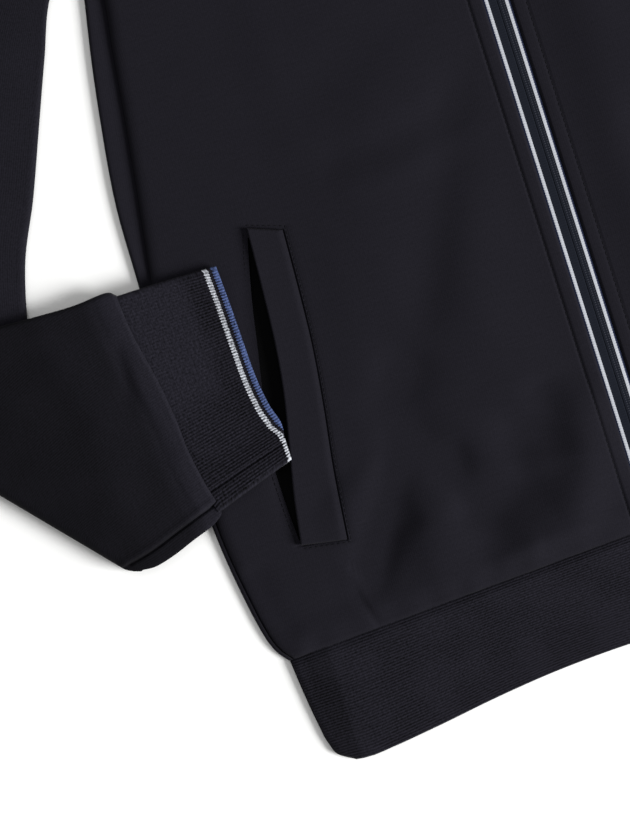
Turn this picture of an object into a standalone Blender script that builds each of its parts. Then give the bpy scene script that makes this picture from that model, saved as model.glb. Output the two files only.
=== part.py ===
"""A zip-through track jacket that lies flat on its back, its sleeves folded over the front.

Sizes are in millimetres here and the meshes are made in metres. X runs across the jacket
(+X is the wearer's left), Y from the hem to the collar, Z up from the surface it lies on.
The two halves are mirror images, so most tables give "out", the distance from the zip's line.

Each cloth piece is one wall: an outer and an inner grid of points, joined along their rims.
The fronts and the back meet at the side seams half-way up, where the cloth rolls over.
"""

from collections import namedtuple
import math

import bpy
import numpy as np

METRES = 0.001
RIGHT, LEFT = -1, 1  # the wearer's sides, as the sign of X
SIDE_NAMES = {RIGHT: "right", LEFT: "left"}

# Cloth
SEAM_GAP = 0.3  # between two pieces that are sewn together
ARMHOLE_GAP = 0.55  # the same along X at the slanted armhole
JERSEY = 1.5  # wall of the double-knit jersey
RIB = 1.6  # wall of the ribbed bands
BODY_LOFT = 6.0  # from the floor to the face of the front
BAND_LOFT = 5.6  # the same at the ribbed bands and beside the zip
SIDE_LIFT = 3.0  # height of the side and shoulder seams
FRONT_ROLL = 7.0  # width over which the front rolls down to a seam
BACK_ROLL = 3.5  # width over which the back curls up to it
BAND_ROLL = 4.5  # half-width of a band's fold at the side
ROLL_ANGLES = (60.0, 30.0, 0.0)  # columns of points on a roll, in degrees

# Landmarks of the flat body
ZIP_EDGE = 6.65  # out, the front's turned edge beside the zip
HEM_SEAM_MIDDLE_Y = -296.0
HEM_SEAM_SIDE_Y = -306.5
ARMPIT_Y = 100.0
SHOULDER_Y = 285.0
NECK_POINT = (85.0, 325.0)  # out and y where shoulder, neck and collar meet
NECK_FRONT_Y = 262.0
NECK_BACK_Y = 318.0
ARMHOLE_ROWS = (101.0, 112.0, 140.0, 175.0, 210.0, 245.0)  # y of the rows beside the sleeve
FRONT_NECK_COLUMN, BACK_NECK_COLUMN = 4, 2  # steps of the neck curve on each panel
MIDDLE_Y = 1.724  # y half-way between the hem's lowest and the collar's highest point

SideRow = namedtuple("SideRow", "y out strip")
SIDE_LINE = (  # the front's side edge and armhole, and how much of the back shows beside it
    SideRow(HEM_SEAM_SIDE_Y, 210.5, 3.0),
    SideRow(-301.0, 215.0, 3.0),
    SideRow(-294.0, 218.3, 3.0),
    SideRow(-286.0, 220.4, 3.0),
    SideRow(-267.0, 223.8, 3.0),
    SideRow(-247.0, 226.6, 3.0),
    SideRow(-220.0, 228.8, 3.0),
    SideRow(-190.0, 229.2, 3.3),
    SideRow(-150.0, 227.4, 4.6),
    SideRow(-90.0, 222.8, 7.5),
    SideRow(-45.0, 216.2, 12.8),
    SideRow(0.0, 209.8, 13.6),
    SideRow(36.0, 205.2, 12.4),
    SideRow(63.0, 201.4, 11.0),
    SideRow(ARMPIT_Y, 202.5, 3.0),
    SideRow(125.0, 194.0, 3.0),
    SideRow(155.0, 190.0, 3.0),
    SideRow(200.0, 193.0, 3.0),
    SideRow(250.0, 206.0, 3.0),
    SideRow(SHOULDER_Y, 222.0, 3.0),
)
WRAP_LOFT = 3.6  # height of the back where it comes round to the front
WRAP_GAP = 0.6  # between its edge and the front's curved one
WRAP_ROLLS = (3.0, 2.0)  # half-widths of its fold, below and above
WRAP_TOP_Y = 88.0  # where the fold ends, just below the armpit

# Pocket mouth: its lip on the front, and the welt's free and sewn edges
MouthRow = namedtuple("MouthRow", "y lip free_edge")
MOUTH = (
    MouthRow(-249.0, 188.8, 188.8),
    MouthRow(-223.0, 189.9, 184.6),
    MouthRow(-195.0, 189.6, 178.6),
    MouthRow(-165.0, 184.2, 172.6),
    MouthRow(-136.5, 178.6, 169.1),
    MouthRow(-120.0, 175.6, 167.9),
    MouthRow(-99.0, 170.9, 166.6),
    MouthRow(-77.5, 165.4, 165.4),
)
MOUTH_LOW_Y, MOUTH_HIGH_Y = -246.0, -82.0  # ends of the cut through the front
MOUTH_UNDER_WELT = 7.0  # how far the cut runs on beneath the welt
WeltRow = namedtuple("WeltRow", "y out")
WELT_SEAM = (
    WeltRow(-253.4, 164.1),
    WeltRow(-215.0, 159.9),
    WeltRow(-180.5, 154.7),
    WeltRow(-145.1, 150.5),
    WeltRow(-114.5, 148.6),
    WeltRow(-84.3, 147.2),
)
WELT_THICKNESS = 2.0
WELT_LIFT = 0.5  # extra height at its free edge
WELT_SOFTENING = 0.5  # drop of its face at the borders
POCKET_BAG = (1.0, 96.0, 206.0)  # thickness, width and height of the layer that shows
POCKET_BAG_OUTER = 198.0  # out, its far edge
POCKET_BAG_MIDDLE_Y = -165.0
POCKET_BAG_BOTTOM = 2.0

# Folds of the fronts: a straight ridge (or trough, if its height is negative) in plan
Fold = namedtuple("Fold", "side start_out start_y end_out end_y half_width height")
FOLDS = (
    Fold(RIGHT, 104.0, -218.0, 106.0, -292.0, 15.0, 4.2),
    Fold(RIGHT, 36.0, -232.0, 92.0, -252.0, 13.0, 2.6),
    Fold(RIGHT, 168.0, -262.0, 196.0, -292.0, 12.0, 1.8),
    Fold(RIGHT, 60.0, 5.0, 124.0, -150.0, 22.0, 2.2),
    Fold(RIGHT, 45.0, -80.0, 70.0, -190.0, 22.0, 1.8),
    Fold(RIGHT, 70.0, 200.0, 165.0, 110.0, 18.0, 3.4),
    Fold(RIGHT, 96.0, 120.0, 180.0, 66.0, 16.0, 2.4),
    Fold(LEFT, 92.0, -226.0, 84.0, -292.0, 15.0, 3.8),
    Fold(LEFT, 44.0, -250.0, 60.0, -150.0, 20.0, 2.2),
    Fold(LEFT, 172.0, -264.0, 190.0, -292.0, 12.0, 1.8),
    Fold(LEFT, 58.0, -20.0, 120.0, -140.0, 22.0, 2.2),
    Fold(LEFT, 80.0, 210.0, 168.0, 120.0, 18.0, 3.4),
    Fold(LEFT, 90.0, 108.0, 178.0, 70.0, 16.0, 2.2),
)
CALM_BESIDE_ZIP = (10.0, 36.0)  # out, where folds start and where they are full
CALM_OVER_POCKET = (128.0, 142.0)  # out, where they fade before the welt

# Sleeves: rings from the underarm edge to the overarm edge
Ring = namedtuple("Ring", "under_out under_y over_out over_y middle_z half_depth")
SLEEVE_DEPTH = 3.0  # half the height of the flattened sleeve
LAYER_GAP = 1.6  # between the two layers at the elbow's fold
CREASE = ((281.0, -234.2), (416.0, -85.0))  # out and y of the fold's two ends
FOLD_ANGLES = (30.0, 60.0, 90.0, 120.0, 150.0)
UPPER_ARM = (
    Ring(203.3, 100.0, 222.3, 285.0, 3.0, SLEEVE_DEPTH),
    Ring(228.0, 75.0, 280.0, 243.0, 3.0, SLEEVE_DEPTH),
    Ring(242.0, 42.0, 330.0, 195.0, 3.0, SLEEVE_DEPTH),
    Ring(255.0, 10.0, 370.0, 140.0, 3.0, SLEEVE_DEPTH),
    Ring(270.0, -27.0, 397.0, 85.0, 3.0, SLEEVE_DEPTH),
    Ring(286.0, -63.0, 412.0, 35.0, 3.0, SLEEVE_DEPTH),
    Ring(296.0, -110.0, 419.0, -5.0, 3.0, SLEEVE_DEPTH),
    Ring(296.0, -170.0, 420.0, -45.0, 3.0, SLEEVE_DEPTH),
)
FOREARM_Z = 3 * SLEEVE_DEPTH + LAYER_GAP
FOREARM = (
    Ring(266.0, -236.3, 376.0, -85.5, FOREARM_Z, SLEEVE_DEPTH),
    Ring(255.0, -233.5, 335.0, -87.2, FOREARM_Z, SLEEVE_DEPTH),
    Ring(243.0, -229.0, 296.0, -88.8, 10.5, SLEEVE_DEPTH),
    Ring(232.0, -225.0, 268.0, -89.5, 10.3, 2.9),
    Ring(223.8, -218.3, 243.0, -91.6, 10.1, 2.8),
)
CUFF = (
    Ring(223.5, -218.2, 242.7, -91.6, 10.0, 2.5),
    Ring(203.0, -211.0, 216.0, -91.5, 9.6, 2.45),
    Ring(181.6, -203.5, 189.0, -92.1, 9.4, 2.35),
)
SEAM_BOW, EDGE_BOW = 4.2, 2.6  # how far the cuff's seam and its edge bow outwards
SLEEVE_FLAT_POINTS = 5
CUFF_RIBS = 34  # raised ribs on each face of the cuff
CUFF_RIB_HEIGHT = 0.35

# Hem band and collar
BandRow = namedtuple("BandRow", "share half_width")
HEM_ROWS = (  # share of the band's height, from its seam to its edge
    BandRow(0.0, 213.2),
    BandRow(0.3, 211.4),
    BandRow(0.6, 209.0),
    BandRow(0.8, 206.6),
    BandRow(0.92, 203.0),
    BandRow(1.0, 195.0),
)
EdgeRow = namedtuple("EdgeRow", "out y")
HEM_EDGE = (
    EdgeRow(0.0, -352.5),
    EdgeRow(56.0, -353.6),
    EdgeRow(78.0, -355.0),
    EdgeRow(109.0, -358.4),
    EdgeRow(149.0, -364.3),
    EdgeRow(173.0, -367.4),
    EdgeRow(188.0, -368.7),
    EdgeRow(196.0, -368.0),
)
COLLAR_ROWS = 6
COLLAR_TOP_OUT = 78.0
COLLAR_FRONT_TOP_Y = 316.0  # beside the zip
COLLAR_SIDE_TOP_Y = 372.0
COLLAR_BACK_TOP_Y = 367.0

# Zip
TAPE_THICKNESS = 0.8
TapeRow = namedtuple("TapeRow", "out bottom")
TAPE_SECTION = (TapeRow(0.2, 3.6), TapeRow(5.6, 3.6), TapeRow(6.5, 3.0), TapeRow(14.0, 3.0))
TAPE_LOW_Y, TAPE_HIGH_Y = -339.0, 315.5
COIL_SIZE = (5.8, 1.2)  # width and thickness
COIL_BOTTOM = 2.1
ZIP_FACE = 4.4  # height of the tapes' face between the fronts
SLIDER_Y = 303.0
SLIDER_PLATE = (8.6, 11.0, 1.3)  # width, length, thickness
BRIDGE = (2.0, 8.8, 3.3, 1.1)  # width, length, height over the plate, bar thickness
PULL_LENGTH, PULL_WIDTH, PULL_THICKNESS = 27.0, 6.0, 1.3
PULL_WINDOW = (3.0, 6.2)  # width and length of the hole that the bridge stands in
PULL_BAR = 1.3  # the tab's bar under the bridge
STOP_SIZE = (2.2, 2.6, 0.9)
BOX_SIZE = (8.4, 12.0, 3.2)
PIN_SIZE = (2.2, 9.0, 0.9)

# Colours, linear
JERSEY_COLOR = (0.014, 0.0135, 0.019)
RIB_COLOR = (0.015, 0.0145, 0.021)
POCKETING_COLOR = (0.005, 0.005, 0.007)
TAPE_COLOR = (0.013, 0.015, 0.026)
METAL_COLOR = (0.022, 0.022, 0.025)
PLASTIC_COLOR = (0.012, 0.012, 0.018)


def column(table, name):
    return np.array([getattr(row, name) for row in table])


def smooth(knots, values, x):
    """A cubic curve through the knots, whose slope at each is that of its neighbours."""
    knots, values = np.asarray(knots, float), np.asarray(values, float)
    slopes = np.gradient(values, knots)
    x = np.clip(x, knots[0], knots[-1])
    i = np.clip(np.searchsorted(knots, x) - 1, 0, len(knots) - 2)
    step = knots[i + 1] - knots[i]
    t = (x - knots[i]) / step
    start = (1 + 2 * t) * (1 - t) ** 2 * values[i] + t * (1 - t) ** 2 * step * slopes[i]
    end = t**2 * (3 - 2 * t) * values[i + 1] - t**2 * (1 - t) * step * slopes[i + 1]
    return start + end


def ease(x, low, high):
    """0 below low, 1 above high, and a soft S between them."""
    t = np.clip((x - low) / (high - low), 0, 1)
    return t * t * (3 - 2 * t)


def side_out(y):
    return smooth(column(SIDE_LINE, "y"), column(SIDE_LINE, "out"), y)


def strip_width(y):
    return smooth(column(SIDE_LINE, "y"), column(SIDE_LINE, "strip"), y)


def lip_out(y):
    return smooth(column(MOUTH, "y"), column(MOUTH, "lip"), y)


def free_edge_out(y):
    return smooth(column(MOUTH, "y"), column(MOUTH, "free_edge"), y)


def hem_edge_y(out):
    return smooth(column(HEM_EDGE, "out"), column(HEM_EDGE, "y"), out)


def hem_seam_y(out):
    """The hem's seam is straight in plan, and lower at the sides."""
    slope = (HEM_SEAM_SIDE_Y - HEM_SEAM_MIDDLE_Y) / side_out(HEM_SEAM_SIDE_Y)
    return HEM_SEAM_MIDDLE_Y + slope * out


def armhole_out(y):
    """The armhole as the panels' rows have it, in straight steps."""
    rows = (ARMPIT_Y, *ARMHOLE_ROWS, SHOULDER_Y)
    return np.interp(y, rows, side_out(np.array(rows)))


def neck_line(middle_out, middle_y, steps):
    """Points of a quarter-round neck curve from the middle to the neck point."""
    turn = np.linspace(0, math.pi / 2, steps + 1)
    out = middle_out + (NECK_POINT[0] - middle_out) * np.sin(turn)
    return out, middle_y + (NECK_POINT[1] - middle_y) * (1 - np.cos(turn))


def material(name, color, roughness):
    made = bpy.data.materials.get(name) or bpy.data.materials.new(name)
    made.use_nodes = True
    shader = made.node_tree.nodes["Principled BSDF"]
    shader.inputs["Base Color"].default_value = (*color, 1.0)
    shader.inputs["Roughness"].default_value = roughness
    return made


def add_object(name, points, faces, finish, origin=(0.0, 0.0, 0.0)):
    """One object from points in the jacket's frame, with its faces turned outwards."""
    points = np.asarray(points, float) - np.array(origin)
    used, faces = np.unique(np.asarray(faces), return_inverse=True)
    faces = faces.reshape(-1, 4)
    points = points[used]
    a, b, c, d = (points[faces[:, k]] for k in range(4))
    volume = sum(np.linalg.det(np.stack(half, 1)).sum() for half in ((a, b, c), (a, c, d)))
    if volume < 0:
        faces = faces[:, ::-1]
    mesh = bpy.data.meshes.new(name)
    mesh.from_pydata((points * METRES).tolist(), [], faces.tolist())
    mesh.materials.append(finish)
    mesh.shade_smooth()
    mesh.set_sharp_from_angle(angle=math.radians(50))
    made = bpy.data.objects.new(name, mesh)
    made.location = [METRES * value for value in origin]
    bpy.context.scene.collection.objects.link(made)
    return made


def add_wall(name, outer, inner, finish, closed=False, keep=None):
    """A wall from two grids of points: both faces, and a rim along each border of the kept cells."""
    rows, columns = outer.shape[:2]
    index = np.arange(rows * columns).reshape(rows, columns)
    if closed:
        index = np.hstack([index, index[:, :1]])
    cells = np.stack([index[:-1, :-1], index[:-1, 1:], index[1:, 1:], index[1:, :-1]], -1)
    cells = cells[keep] if keep is not None else cells.reshape(-1, 4)
    edges = np.concatenate([cells[:, [k, (k + 1) % 4]] for k in range(4)])
    count = rows * columns
    there, back = edges[:, 0] * count + edges[:, 1], edges[:, 1] * count + edges[:, 0]
    start, end = edges[~np.isin(there, back)].T
    rims = np.stack([end, start, start + count, end + count], 1)
    faces = np.concatenate([cells, cells[:, ::-1] + count, rims])
    points = np.concatenate([outer.reshape(-1, 3), inner.reshape(-1, 3)])
    return add_object(name, points - np.array([0, MIDDLE_Y, 0]), faces, finish)


def placed(side, out, y, z):
    return np.stack(np.broadcast_arrays(side * out, y, z), -1)


# Fronts and back


def fold_height(side, out, y):
    """The fronts' folds: each is a soft round ridge that fades towards its two ends."""
    height = np.zeros(np.broadcast(out, y).shape)
    for fold in FOLDS:
        if fold.side != side:
            continue
        run = np.array([fold.end_out - fold.start_out, fold.end_y - fold.start_y])
        length = np.hypot(*run)
        along = ((out - fold.start_out) * run[0] + (y - fold.start_y) * run[1]) / length**2
        across = ((out - fold.start_out) * run[1] - (y - fold.start_y) * run[0]) / length
        fade = ease(along, -0.15, 0.35) * (1 - ease(along, 0.65, 1.15))
        height += fold.height * fade * np.exp(-((across / fold.half_width) ** 2))
    calm = ease(out, *CALM_BESIDE_ZIP) * (1 - ease(out, *CALM_OVER_POCKET) * (1 - ease(y, 20, 70)))
    return height * calm


def front_loft(side, out, y):
    """Height of the front's face: level with the bands at the zip, hem and neck, fuller between."""
    full = ease(out, *CALM_BESIDE_ZIP) * ease(y, HEM_SEAM_SIDE_Y, HEM_SEAM_SIDE_Y + 18)
    return BAND_LOFT + (BODY_LOFT - BAND_LOFT) * full + fold_height(side, out, y)


def top_edge(share, drop, middle_out, middle_y, neck_share):
    """Neck curve and shoulder seam, from the middle (share 0) to the shoulder point, lowered by drop."""
    turn = np.clip(share / neck_share, 0, 1) * math.pi / 2
    slide = np.clip((share - neck_share) / (1 - neck_share), 0, 1)
    out = middle_out + (NECK_POINT[0] - middle_out) * np.sin(turn)
    out = out + slide * (side_out(SHOULDER_Y - drop) - NECK_POINT[0])
    y = middle_y + (NECK_POINT[1] - middle_y) * (1 - np.cos(turn)) + slide * (SHOULDER_Y - NECK_POINT[1])
    return out, y - drop


def panel_plan(side_y, share_of_row, roll, middle_out, middle_y, neck_column):
    """Plan of a panel's grid, the drop of each row from the top edge, and each point's share of the row.

    side_y gives the rows up the side line; the last rows repeat the top edge, each less lowered.
    Below the armpit the rows are straight, and above it they take on the top edge's curve.
    """
    drops = roll * (1 - np.cos(np.radians(ROLL_ANGLES)))
    rows = np.append(side_y, SHOULDER_Y - roll)[:, None]
    share = share_of_row(rows)
    neck_share = share[-1, neck_column]
    straight_y = smooth(
        (HEM_SEAM_SIDE_Y, -255.0, 150.0, SHOULDER_Y - roll),
        (hem_seam_y(middle_out), -255.0, 150.0, middle_y - roll),
        rows,
    )
    out = middle_out + share * (side_out(rows) - middle_out)
    y = straight_y + share * (rows - straight_y)
    top_out, top_y = top_edge(share, roll, middle_out, middle_y, neck_share)
    line_out = middle_out + share * (side_out(SHOULDER_Y - roll) - middle_out)
    line_y = middle_y - roll + share * (SHOULDER_Y - middle_y)
    bend = ease(rows, ARMPIT_Y - 20, SHOULDER_Y - roll)
    out = out + bend * (top_out - line_out)
    y = y + bend * (top_y - line_y)
    tops = [top_edge(share[-1], drop, middle_out, middle_y, neck_share) for drop in drops]
    out = np.vstack([out] + [top[0][None] for top in tops])
    y = np.vstack([y] + [top[1][None] for top in tops])
    share = np.vstack([share] + [share[-1:]] * len(drops))
    row_y = np.append(rows[:, 0], SHOULDER_Y - drops)[:, None]
    row_drop = np.append(np.full(len(rows), roll), drops)[:, None]
    return out, y, share, row_y, row_drop, neck_share


def rolls(out, share, row_y, row_drop, roll, neck_share):
    """How far each point has rolled over a seam, 0 to 1, and how far the inner wall is set in there."""
    at_side = np.clip(1 - (side_out(row_y) - out) / roll, 0, 1)
    at_side = at_side * (1 - ease(row_y, ARMPIT_Y - 8, ARMPIT_Y + 12))
    at_top = np.clip(1 - row_drop / roll, 0, 1) * (share >= neck_share - 1e-6)
    down = 1 - np.sqrt(1 - at_side**2) * np.sqrt(1 - at_top**2)
    return down, at_side, at_top


def add_front(side, finish):
    lower = np.array([HEM_SEAM_SIDE_Y, -301.0, -293.0, -281.0, -264.0, MOUTH_LOW_Y])
    mouth = np.linspace(MOUTH_LOW_Y, MOUTH_HIGH_Y, 8)
    upper = np.array([-50.0, -15.0, 25.0, 65.0, 92.0, *ARMHOLE_ROWS])
    side_y = np.concatenate([lower[:-1], mouth, upper])
    counts = (8, 1, 2, 1, 1, 1)

    def share_of_row(y):
        edge = side_out(y)
        drops = [FRONT_ROLL * (1 - math.cos(math.radians(angle))) for angle in (90.0, *ROLL_ANGLES)]
        lines = [ZIP_EDGE + 0 * y, free_edge_out(y) - MOUTH_UNDER_WELT, lip_out(y)]
        lines += [edge - drop for drop in drops]
        parts = [
            start + (end - start) * np.arange(count) / count
            for start, end, count in zip(lines[:-1], lines[1:], counts)
        ]
        return (np.hstack(parts + [lines[-1]]) - ZIP_EDGE) / (edge - ZIP_EDGE)

    out, y, share, row_y, row_drop, neck_share = panel_plan(
        side_y, share_of_row, FRONT_ROLL, ZIP_EDGE, NECK_FRONT_Y, FRONT_NECK_COLUMN
    )
    down, at_side, at_top = rolls(out, share, row_y, row_drop, FRONT_ROLL, neck_share)
    face = front_loft(side, out, y)
    z = face - (face - SIDE_LIFT - SEAM_GAP / 2) * down
    outer = placed(side, out, y, z)
    inner_z = z - JERSEY * (1 - down)
    inner = placed(side, out - JERSEY * at_side, y - JERSEY * at_top, inner_z)
    keep = np.ones((out.shape[0] - 1, out.shape[1] - 1), bool)
    first = len(lower) - 1
    keep[first : first + len(mouth) - 1, counts[0]] = False
    return add_wall(f"front_{SIDE_NAMES[side]}", outer, inner, finish, keep=keep)


def back_half(out, y, side_y, inset):
    """out, y and z of half the back: its flat rows, then their fold round the side to the front's edge."""
    turn = np.radians([-60.0, -30.0, 0.0, 30.0, 60.0, 90.0])
    edge, strip = side_out(side_y), strip_width(side_y)
    silhouette = edge + strip
    roll = np.where(turn <= 0, *WRAP_ROLLS)
    fold_out = silhouette - roll + (roll - inset) * np.cos(turn)
    half_loft = WRAP_LOFT / 2
    fold_z = half_loft + (half_loft - inset) * np.sin(turn)
    fold_out = np.hstack([fold_out, edge + WRAP_GAP])
    fold_z = np.append(fold_z, WRAP_LOFT - inset)
    slope = y[:, -1:] - y[:, -2:-1]
    slope = slope / np.maximum(out[:, -1:] - out[:, -2:-1], 1.0)
    fold_y = y[:, -1:] + slope * (fold_out - out[:, -1:])
    return np.hstack([out, fold_out]), np.hstack([y, fold_y]), fold_z


def add_back(finish):
    side_y = np.array(
        [HEM_SEAM_SIDE_Y, -301.0, -293.0, -281.0, -260.0, -220.0, -170.0, -120.0, -80.0, -45.0]
        + [-10.0, 25.0, 60.0, WRAP_TOP_Y, *ARMHOLE_ROWS]
    )
    flat_columns = 6

    def share_of_row(y):
        flat = side_out(y) + strip_width(y) - WRAP_ROLLS[0]
        return flat * np.linspace(0, 1, flat_columns) / side_out(y)

    out, y, share, row_y, row_drop, neck_share = panel_plan(
        side_y, share_of_row, BACK_ROLL, 0.0, NECK_BACK_Y, BACK_NECK_COLUMN
    )
    at_top = np.clip(1 - row_drop / BACK_ROLL, 0, 1) * (share >= neck_share - 1e-6)
    up = 1 - np.sqrt(1 - at_top**2)
    walls = []
    for inset in (0.0, JERSEY):
        all_out, all_y, fold_z = back_half(out, y - inset * at_top, row_y, inset)
        z = (SIDE_LIFT - SEAM_GAP / 2) * up + inset * (1 - up)
        z = np.hstack([z, np.broadcast_to(fold_z, (len(z), len(fold_z)))])
        right, left = (placed(side, all_out, all_y, z) for side in (RIGHT, LEFT))
        walls.append(np.hstack([right[:, :0:-1], left]))
    outer, inner = walls
    keep = np.ones((outer.shape[0] - 1, outer.shape[1] - 1), bool)
    above_wrap = row_y[:-1, 0] >= WRAP_TOP_Y
    fold_columns = outer.shape[1] // 2 - flat_columns + 1
    keep[above_wrap, :fold_columns] = False
    keep[above_wrap, -fold_columns:] = False
    return add_wall("back", outer, inner, finish, keep=keep)


# Pockets


def add_welt(side, finish):
    """A strip from its free edge to its seam, made from the front's face and moved out."""
    along = np.linspace(0, 1, 15)[:, None]
    across = np.array([0.0, 0.12, 0.5, 0.88, 1.0])[None, :]
    free_y = MOUTH[0].y + along * (MOUTH[-1].y - MOUTH[0].y)
    seam_y = WELT_SEAM[0].y + along * (WELT_SEAM[-1].y - WELT_SEAM[0].y)
    seam_out = smooth(column(WELT_SEAM, "y"), column(WELT_SEAM, "out"), seam_y)
    out = free_edge_out(free_y) + across * (seam_out - free_edge_out(free_y))
    y = free_y + across * (seam_y - free_y)
    bottom = front_loft(side, out, y) + SEAM_GAP + WELT_LIFT * (1 - across) ** 2
    border = np.maximum(np.abs(2 * across - 1), np.abs(2 * along - 1)) ** 12
    top = bottom + WELT_THICKNESS - WELT_SOFTENING * border
    return add_wall(
        f"welt_{SIDE_NAMES[side]}", placed(side, out, y, top), placed(side, out, y, bottom), finish
    )


def add_pocket_bag(side, finish):
    """A flat rounded layer beneath the mouth."""
    thickness, width, height = POCKET_BAG
    along = np.linspace(-1, 1, 7)[:, None]
    across = np.linspace(-1, 1, 5)[None, :]
    narrowing = 1 - 0.12 * along**4
    out = POCKET_BAG_OUTER - width / 2 + across * narrowing * width / 2
    y = POCKET_BAG_MIDDLE_Y + along * height / 2 * (1 - 0.04 * across**4)
    bottom = placed(side, out, y, POCKET_BAG_BOTTOM)
    top = placed(side, out, y, POCKET_BAG_BOTTOM + thickness)
    return add_wall(f"pocket_bag_{SIDE_NAMES[side]}", top, bottom, finish)


# Sleeves and cuffs


def flat_section(flat_points):
    """Points round a flattened tube: share of the flat width, and the cosine and sine on its round ends."""
    flat = np.linspace(1, -1, flat_points + 2)[1:-1]
    turn = np.radians(np.linspace(90, -90, 5))
    far = np.stack([np.ones(5), np.cos(turn), np.sin(turn)])
    near = np.stack([-np.ones(5), -np.cos(turn[::-1]), np.sin(turn[::-1])])
    upper = np.stack([-flat, 0 * flat, 1 + 0 * flat])
    lower = np.stack([flat, 0 * flat, -1 + 0 * flat])
    return np.hstack([upper, far, lower, near])


def ring_points(ring, up, bow, wall, section, side, ribs=0.0):
    """Outer and inner points of one ring. up is the way its first face looks, bow bends it in plan."""
    share, cosine, sine = section
    under = np.array([ring.under_out, ring.under_y])
    over = np.array([ring.over_out, ring.over_y])
    half = np.hypot(*(over - under)) / 2
    depth = ring.half_depth
    grids = []
    for inset, relief in ((0.0, ribs), (wall, 0.0)):
        across = share * (half - depth) + cosine * (depth - inset)
        raised = sine * (depth - inset)
        flat = np.abs(sine) == 1
        raised = raised + sine * flat * relief * (np.arange(len(sine)) % 2)
        part = (across / half + 1)[:, None] / 2
        plan = under + part * (over - under)
        plan = plan + bow(part)
        points = np.column_stack([plan, np.full(len(plan), ring.middle_z)]) + raised[:, None] * up
        grids.append(points * (side, 1, 1))
    return grids


def armhole_bow(part):
    """From the straight line between armpit and shoulder point to the body's armhole."""
    first = UPPER_ARM[0]
    y = first.under_y + part * (first.over_y - first.under_y)
    straight = first.under_out + part * (first.over_out - first.under_out)
    return np.hstack([armhole_out(y) + ARMHOLE_GAP - straight, 0 * y])


def round_bow(amount):
    return lambda part: np.hstack([amount * 4 * part * (1 - part), 0 * part])


def between(table, steps):
    """The table's rings, and as many rings between neighbours as steps asks, on smooth curves."""
    knots = np.arange(len(table))
    places = np.linspace(0, len(table) - 1, steps)
    columns = [smooth(knots, column(table, name), places) for name in Ring._fields]
    return places, [Ring(*values) for values in zip(*columns)]


def add_sleeve(side, finish):
    section = flat_section(SLEEVE_FLAT_POINTS)
    up = np.array([0.0, 0.0, 1.0])
    crease = np.array(CREASE)
    run = (crease[1] - crease[0]) / np.hypot(*(crease[1] - crease[0]))
    outwards = np.array([run[1], -run[0]])
    turn_radius = SLEEVE_DEPTH + LAYER_GAP / 2
    axis = crease - (turn_radius + SLEEVE_DEPTH) * outwards
    start = Ring(*axis.ravel(), SLEEVE_DEPTH, SLEEVE_DEPTH)
    end = Ring(*axis.ravel(), FOREARM_Z, SLEEVE_DEPTH)
    grids = []
    places, rings = between((*UPPER_ARM, start), 14)
    for place, ring in zip(places, rings):
        fade = 1 - ease(place, 0.0, 2.5)
        grids.append(
            ring_points(ring, up, lambda part: armhole_bow(part) * fade, JERSEY, section, side)
        )
    for angle in np.radians(FOLD_ANGLES):
        centre = (axis + turn_radius * math.sin(angle) * outwards).ravel()
        height = SLEEVE_DEPTH + turn_radius * (1 - math.cos(angle))
        ring = Ring(*centre, height, SLEEVE_DEPTH)
        lean = np.array([*(-math.sin(angle) * outwards), math.cos(angle)])
        grids.append(ring_points(ring, lean, round_bow(0.0), JERSEY, section, side))
    places, rings = between((end, *FOREARM), 9)
    for place, ring in zip(places, rings):
        bow = SEAM_BOW * ease(place, 2.5, len(FOREARM))
        grids.append(ring_points(ring, -up, round_bow(bow), JERSEY, section, side))
    outer, inner = (np.stack([grid[k] for grid in grids]) for k in (0, 1))
    return add_wall(f"sleeve_{SIDE_NAMES[side]}", outer, inner, finish, closed=True)


def add_cuff(side, finish):
    section = flat_section(2 * CUFF_RIBS - 1)
    up = np.array([0.0, 0.0, 1.0])
    bows = np.linspace(SEAM_BOW, EDGE_BOW, len(CUFF))
    grids = [
        ring_points(ring, -up, round_bow(bow), RIB, section, side, CUFF_RIB_HEIGHT)
        for ring, bow in zip(CUFF, bows)
    ]
    outer, inner = (np.stack([grid[k] for grid in grids]) for k in (0, 1))
    return add_wall(f"cuff_{SIDE_NAMES[side]}", outer, inner, finish, closed=True)


# Hem band and collar: strips that run from the zip round the back to the zip


def band_section(half_width, flat_points, inset):
    """out, side and z round half a band: its front, its fold at the side, its back."""
    turn = np.radians(np.linspace(90, -90, 7))
    fold = half_width - BAND_ROLL + (BAND_ROLL - inset) * np.cos(turn)
    half_loft = BAND_LOFT / 2
    fold_z = half_loft + (half_loft - inset) * np.sin(turn)
    front = np.linspace(ZIP_EDGE, half_width - BAND_ROLL, flat_points)[:-1]
    back = np.linspace(half_width - BAND_ROLL, 0, flat_points)[1:]
    out = np.concatenate([front, fold, back])
    z = np.concatenate([0 * front + BAND_LOFT - inset, fold_z, 0 * back + inset])
    is_front = np.arange(len(out)) < len(front) + len(fold) // 2
    return out, z, is_front


def whole_band(half_rows):
    """Both halves of a band, as one grid from the right side of the zip to the left."""
    half = np.stack(half_rows)
    return np.hstack([half * (RIGHT, 1, 1), (half * (LEFT, 1, 1))[:, -2::-1]])


def add_hem_band(finish):
    grids = []
    for inset in (0.0, RIB):
        rows = []
        for row in HEM_ROWS:
            out, z, _ = band_section(row.half_width, 7, inset)
            top = hem_seam_y(out) - SEAM_GAP
            y = top + row.share * (hem_edge_y(out) - top)
            rows.append(np.column_stack([out, y, z]))
        grids.append(whole_band(rows))
    return add_wall("hem_band", *grids, finish)


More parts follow.
